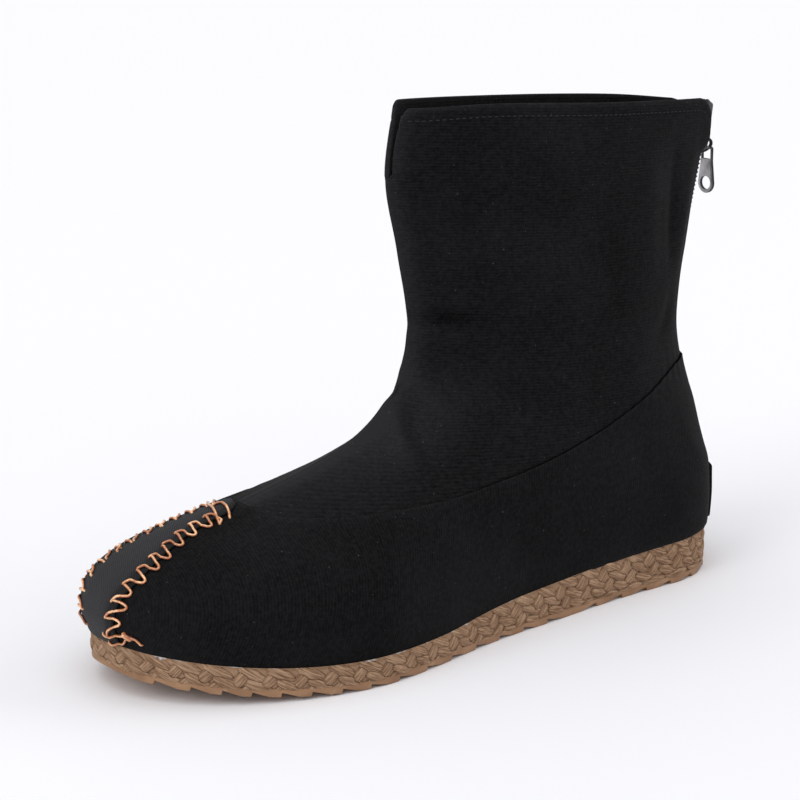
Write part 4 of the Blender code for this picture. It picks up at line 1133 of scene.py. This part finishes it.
def heel_patch():
    """Level rows round the back of the heel, raised off the upper's face."""
    share = PATCH_SHARE * np.linspace(0, 1, PATCH_COLUMNS) ** 2
    side = np.repeat([1, -1], PATCH_COLUMNS)
    share = np.concatenate([share[::-1], share])
    low = feather(side, share) + GAP
    z = low + (PATCH_TOP - low) * np.linspace(0, 1, PATCH_ROWS)[:, None]
    under = outside(side, share, z, PANEL_STEP)
    up = -face_normals(under)
    uv = joined(runs(under, 1), z)
    wear_and_shading = edge_paling(PATCH_TOP - z, *PATCH_TOP_WORN) + edge_paling(z - low, *PATCH_LOW_WORN)
    return wall("heel_cloth", under + up * (GAP + PATCH_THICK), under + up * PATCH_ROOT, uv, wear_and_shading)


sit(heel_patch(), twill("patch_twill", **PATCH_RIBS), node="heel_patch")

# Zip: two woven tapes sewn behind the slot's edges at the centre back, with a row of moulded teeth on each.
# The teeth interlock up to the slider and part above it.
TAPE_EDGE, TAPE_OUT, TAPE_IN, TAPE_THICK, TAPE_ROWS, TAPE_COLUMNS = 0.7, 4.6, 1.1, 0.7, 90, 9
TAPE_WORN, END_WORN = 0.4, 0.5
ZIP_LOW, ZIP_TOP, ZIP_PART, PART_SLOPE = 39.1, 177.5, 168.0, 0.13
TOOTH_RISE, TOOTH_HALF, TOOTH_TOP = 1.65, (0.85, 1.7, 0.46), 174.5
TOOTH_OUT, TOOTH_SIDE, TOOTH_FIRST, TOOTH_SHARP = 1.8, 0.85, 1, 40
TOOTH_AROUND, TOOTH_DOWN, SQUARENESS = 10, 6, 0.6
TAPE_RIBS = {"pitch": 0.9, "lean": 45.0}
TAPE_GREY = {"deep": (0.04, 0.04, 0.044, 1), "pale_back": (0.14, 0.14, 0.15, 1)}
END_LOW, END_HIGH, END_ROUND, END_TURN = 172.5, {1: 182.3, -1: 178.6}, 2.6, 0.6
END_ROWS, END_COLUMNS, END_WIDE = 14, 19, 3
END_FOLD = {"x": (1.1, -0.8, -2.3, -2.9, -2.3, -0.6, 4.0), "y": (2.4, 2.7, 3.2, 3.9, 4.6, 5.0, 4.4)}
TOOTH_BLACK, TOOTH_GREY = (0.016, 0.016, 0.018, 1), (0.06, 0.062, 0.068, 1)


def parted(z):
    """How far each side of the zip stands off the middle above the slider."""
    return PART_SLOPE * np.clip(z - ZIP_PART, 0, None)


def zip_tape(name, side):
    """Rows up the back, columns from the teeth to under the cloth's fold."""
    z = np.linspace(ZIP_LOW, ZIP_TOP, TAPE_ROWS)[:, None]
    y = np.linspace(TAPE_EDGE, TAPE_OUT, TAPE_COLUMNS) + parted(z)
    outer = joined(form("back", z) + TAPE_IN, side * y, z)
    inner = outer + np.array([TAPE_THICK, 0, 0])
    uv = joined(y, z)
    return wall(name, outer, inner, uv, np.full(uv.shape[:2], TAPE_WORN))


def tape_end(name, side):
    """Loose upper end of a tape, rolled outwards past the cloth: rows up the back, columns round the roll."""
    high = END_HIGH[side]
    z = np.linspace(END_LOW, high, END_ROWS)[:, None]
    knots, t = np.linspace(0, 1, len(END_FOLD["x"])), np.linspace(0, 1, END_COLUMNS)
    x, y = smooth(knots, END_FOLD["x"], t), smooth(knots, END_FOLD["y"], t)
    x = form("back", z) + x + END_ROUND * ease((z - high) / END_ROUND + 1) ** 2 * (x < 0)
    outer = joined(x, side * y, z)
    behind = np.array([TAPE_THICK, 0, 0]) - side * np.array([0, TAPE_THICK, 0]) * (t[:, None] > END_TURN)
    uv = joined(END_WIDE * t, z)
    return wall(name, outer, outer + behind, uv, np.full(uv.shape[:2], END_WORN))


def squared(v):
    """A cosine or a sine drawn towards 1 and -1, by a power below one, which squares off a round section."""
    return np.sign(v) * np.abs(v) ** SQUARENESS


def pebbles(name, middles, halves):
    """Rounded blocks: at each place a ball with its cosines and sines squared off."""
    a = np.linspace(0, 2 * math.pi, TOOTH_AROUND, endpoint=False)
    b = np.linspace(-math.pi / 2, math.pi / 2, TOOTH_DOWN)[:, None]
    level, upright = squared(np.cos(b)), squared(np.sin(b))
    ball = joined(level * squared(np.cos(a)), level * squared(np.sin(a)), upright)
    grid = middles[:, None, None] + ball * halves
    return new_piece(name, grid, ring_faces(grid), sharp=TOOTH_SHARP)


def zip_teeth(side):
    """Places of one side's teeth: even steps up the back, half a step apart from the other side's."""
    z = np.arange(ZIP_LOW + TOOTH_FIRST + (0.5 * TOOTH_RISE if side < 0 else 0), TOOTH_TOP, TOOTH_RISE)
    return joined(form("back", z) - TOOTH_OUT, side * (TOOTH_SIDE + parted(z)), z)


def tooth_finish():
    """Dark moulded teeth, greyer and duller where a noise is high."""
    material, sockets, start = new_finish("zip_teeth", 0.4, specular_ior_level=0.5)
    place = start.place()
    bloom = start.noise(place, 700.0, 2.0).between(0.4, 0.7)
    bloom.colours(TOOTH_BLACK, TOOTH_GREY).into(sockets["Base Color"])
    (0.35 + bloom * 0.2).into(sockets["Roughness"])
    return material


tape_cloth, end_cloth = twill("zip_tape", **TAPE_RIBS), twill("zip_tape_end", **TAPE_RIBS, **TAPE_GREY)
for label, side in SIDES.items():
    sit(zip_tape("zip_tape_" + label, side), tape_cloth, node="zip_chain")
    sit(tape_end("tape_end_" + label, side), end_cloth, node="zip_chain")
teeth = pebbles("zip_teeth", np.concatenate([zip_teeth(1), zip_teeth(-1)]), TOOTH_HALF)
sit(teeth, tooth_finish(), node="zip_chain")

# Slider: a shield of cast metal that rides on the zip's teeth, with a bail bent over its middle.
# The bail carries the pull tab. Both are plated in dark gunmetal.
SLIDER_Z, SLIDER_TALL, SLIDER_THICK = 164.0, 10.0, 3.0
SHIELD_Z, SHIELD_HALF, SHIELD_TALL, SHIELD_THICK, SHIELD_OUT, SHIELD_BEVEL = 166.0, 3.2, 7.6, 2.2, 1.0, 0.5
SHIELD = {"half": (0.5, 0.86, 1.0, 1.0, 0.9, 0.55), "tall": (-1.0, -0.75, -0.2, 0.6, 0.92, 1.0)}
ARCH_Z, ARCH_OUT, ARCH_IN, ARCH_TALL, ARCH_WIRE, ARCH_HALF = 164.3, 4.1, 2.0, 6.6, 0.9, 0.75
ARCH_STEPS, ARCH_AROUND, ARCH_SHARP, PLATE_SHARP, BEVEL_STEPS, CHAIN_OUT = 25, 16, 50, 40, 2, 1.2
GUNMETAL_PALE, GUNMETAL_DEEP = (0.42, 0.41, 0.415, 1), (0.27, 0.262, 0.266, 1)
GUNMETAL_EDGE, SCRATCH_SCALE = (0.03, 0.03, 0.032, 1), (900.0, 5000.0, 500.0)
slider_face = float(form("back", SLIDER_Z + SLIDER_TALL / 2)) - CHAIN_OUT - GAP


def plate(name, outlines, thick, bevel, place):
    """Upright plate facing the rear, with holes and bevelled rims: a flat filled curve given a thickness."""
    curve = bpy.data.curves.new(name, "CURVE")
    curve.dimensions, curve.fill_mode = "2D", "BOTH"
    curve.extrude, curve.offset = thick / 2 - bevel, -bevel
    curve.bevel_depth, curve.bevel_resolution = bevel, BEVEL_STEPS
    for outline in outlines:
        spline = curve.splines.new("POLY")
        spline.points.add(len(outline) - 1)
        flat = np.zeros((len(outline), 4))
        flat[:, :2] = outline
        spline.points.foreach_set("co", flat.ravel())
        spline.use_cyclic_u = True
    drawn = bpy.data.objects.new(name, curve)
    bpy.context.scene.collection.objects.link(drawn)
    bpy.context.view_layer.update()
    mesh = bpy.data.meshes.new_from_object(drawn.evaluated_get(bpy.context.evaluated_depsgraph_get()))
    flat = np.empty(3 * len(mesh.vertices))
    mesh.vertices.foreach_get("co", flat)
    u, v, w = flat.reshape(-1, 3).T
    faces = [list(face.vertices) for face in mesh.polygons]
    bpy.data.objects.remove(drawn)
    bpy.data.curves.remove(curve)
    bpy.data.meshes.remove(mesh)
    points = joined(place[0] + w, place[1] + u, place[2] + v)
    flat_side = np.abs(w) > thick / 2 - bevel / 4
    return new_piece(name, points, faces, sharp=PLATE_SHARP, marks={"flat": flat_side})


def bail(name):
    """Flat wire bent over the slider: a rounded oblong carried along half an oval from top to bottom."""
    turn = np.linspace(-math.pi / 2, math.pi / 2, ARCH_STEPS)[:, None]
    section = np.linspace(0, 2 * math.pi, ARCH_AROUND, endpoint=False)
    over, wide = squared(np.cos(section)) * ARCH_WIRE / 2, squared(np.sin(section)) * ARCH_HALF
    out, tall = ARCH_OUT + ARCH_IN - ARCH_WIRE / 2 + over, ARCH_TALL / 2 - ARCH_WIRE / 2 + over
    x = slider_face - SLIDER_THICK + ARCH_IN - out * np.cos(turn)
    grid = joined(x, wide, ARCH_Z + tall * np.sin(turn))
    ends = grid.mean(axis=1, keepdims=True)[[0, -1]] + np.zeros_like(grid[:1])
    grid = np.concatenate([ends[:1], grid, ends[1:]])
    return new_piece(name, grid, ring_faces(grid), sharp=ARCH_SHARP)


def gunmetal():
    """Dark plated metal: broad stains in its tone, fine scratches in its gloss, and darker cut edges."""
    material, sockets, start = new_finish("gunmetal", 0.32, metallic=0.9)
    place = start.place()
    stain = start.noise(place, 300.0, 3.0).between(0.3, 0.7)
    plated = stain.colours(GUNMETAL_DEEP, GUNMETAL_PALE)
    start.mark("flat").colours(GUNMETAL_EDGE, plated).into(sockets["Base Color"])
    drawn = start.node("Mapping", None, {"Vector": place, "Scale": SCRATCH_SCALE})
    scratches = start.noise(drawn, 1.0, 3.0)
    (0.24 + scratches * 0.25).into(sockets["Roughness"])
    scratches.bump(0.12, 0.03).into(sockets["Normal"])
    return material


metal = gunmetal()
right = joined(np.array(SHIELD["half"]) * SHIELD_HALF, np.array(SHIELD["tall"]) * SHIELD_TALL / 2)
shield = np.concatenate([right, right[::-1] * (-1, 1)])
slider = plate("slider_shield", [shield], SHIELD_THICK, SHIELD_BEVEL, (slider_face - SHIELD_OUT, 0, SHIELD_Z))
sit(slider, metal, node="zip_slider")
sit(bail("slider_bail"), metal, node="zip_slider")

# Pull tab: a flat plate stamped from the same metal, hung on the bail by an eye at its top.
# Its lower end is round, with a large hole.
PULL_LENGTH, PULL_HALF, PULL_THICK, PULL_BAR = 18.6, 4.1, 1.3, 1.0
NECK_HALF, EYE_HALF, EYE_TALL, HOLE_RADIUS, HOLE_UP = 2.95, 2.2, 4.4, 2.6, 4.1
AXIS_OUT, AXIS_DOWN, PULL_BEVEL, NECK_DROP, NECK_CUT = 1.7, 1.2, 0.3, 0.7, 0.6
ROUND_POINTS, HOLE_POINTS = 25, 33
pull_axis = (slider_face - SLIDER_THICK - AXIS_OUT, 0.0, SLIDER_Z - AXIS_DOWN)


def arc(middle, radius, start, end, count):
    """Points on an arc, by angle in degrees."""
    turn = np.radians(np.linspace(start, end, count))
    return joined(middle[0] + radius * np.cos(turn), middle[1] + radius * np.sin(turn))


pull_top, pull_low = PULL_BAR / 2, -PULL_LENGTH + PULL_BAR / 2
neck = np.array([(NECK_HALF, -EYE_TALL - NECK_DROP), (NECK_HALF, pull_top - NECK_CUT),
                 (NECK_HALF - NECK_CUT, pull_top)])
round_end = arc((0, pull_low + PULL_HALF), PULL_HALF, 180, 360, ROUND_POINTS)
pull_outline = np.concatenate([round_end, neck, neck[::-1] * (-1, 1)])
eye = np.array([(EYE_HALF, -pull_top), (EYE_HALF, -EYE_TALL), (-EYE_HALF, -EYE_TALL), (-EYE_HALF, -pull_top)])
hole = arc((0, pull_low + HOLE_UP), HOLE_RADIUS, 360, 0, HOLE_POINTS)[:-1]
pull = plate("pull_tab", [pull_outline, eye, hole], PULL_THICK, PULL_BEVEL, pull_axis)
sit(pull, metal, body="pull", node="zip_pull")
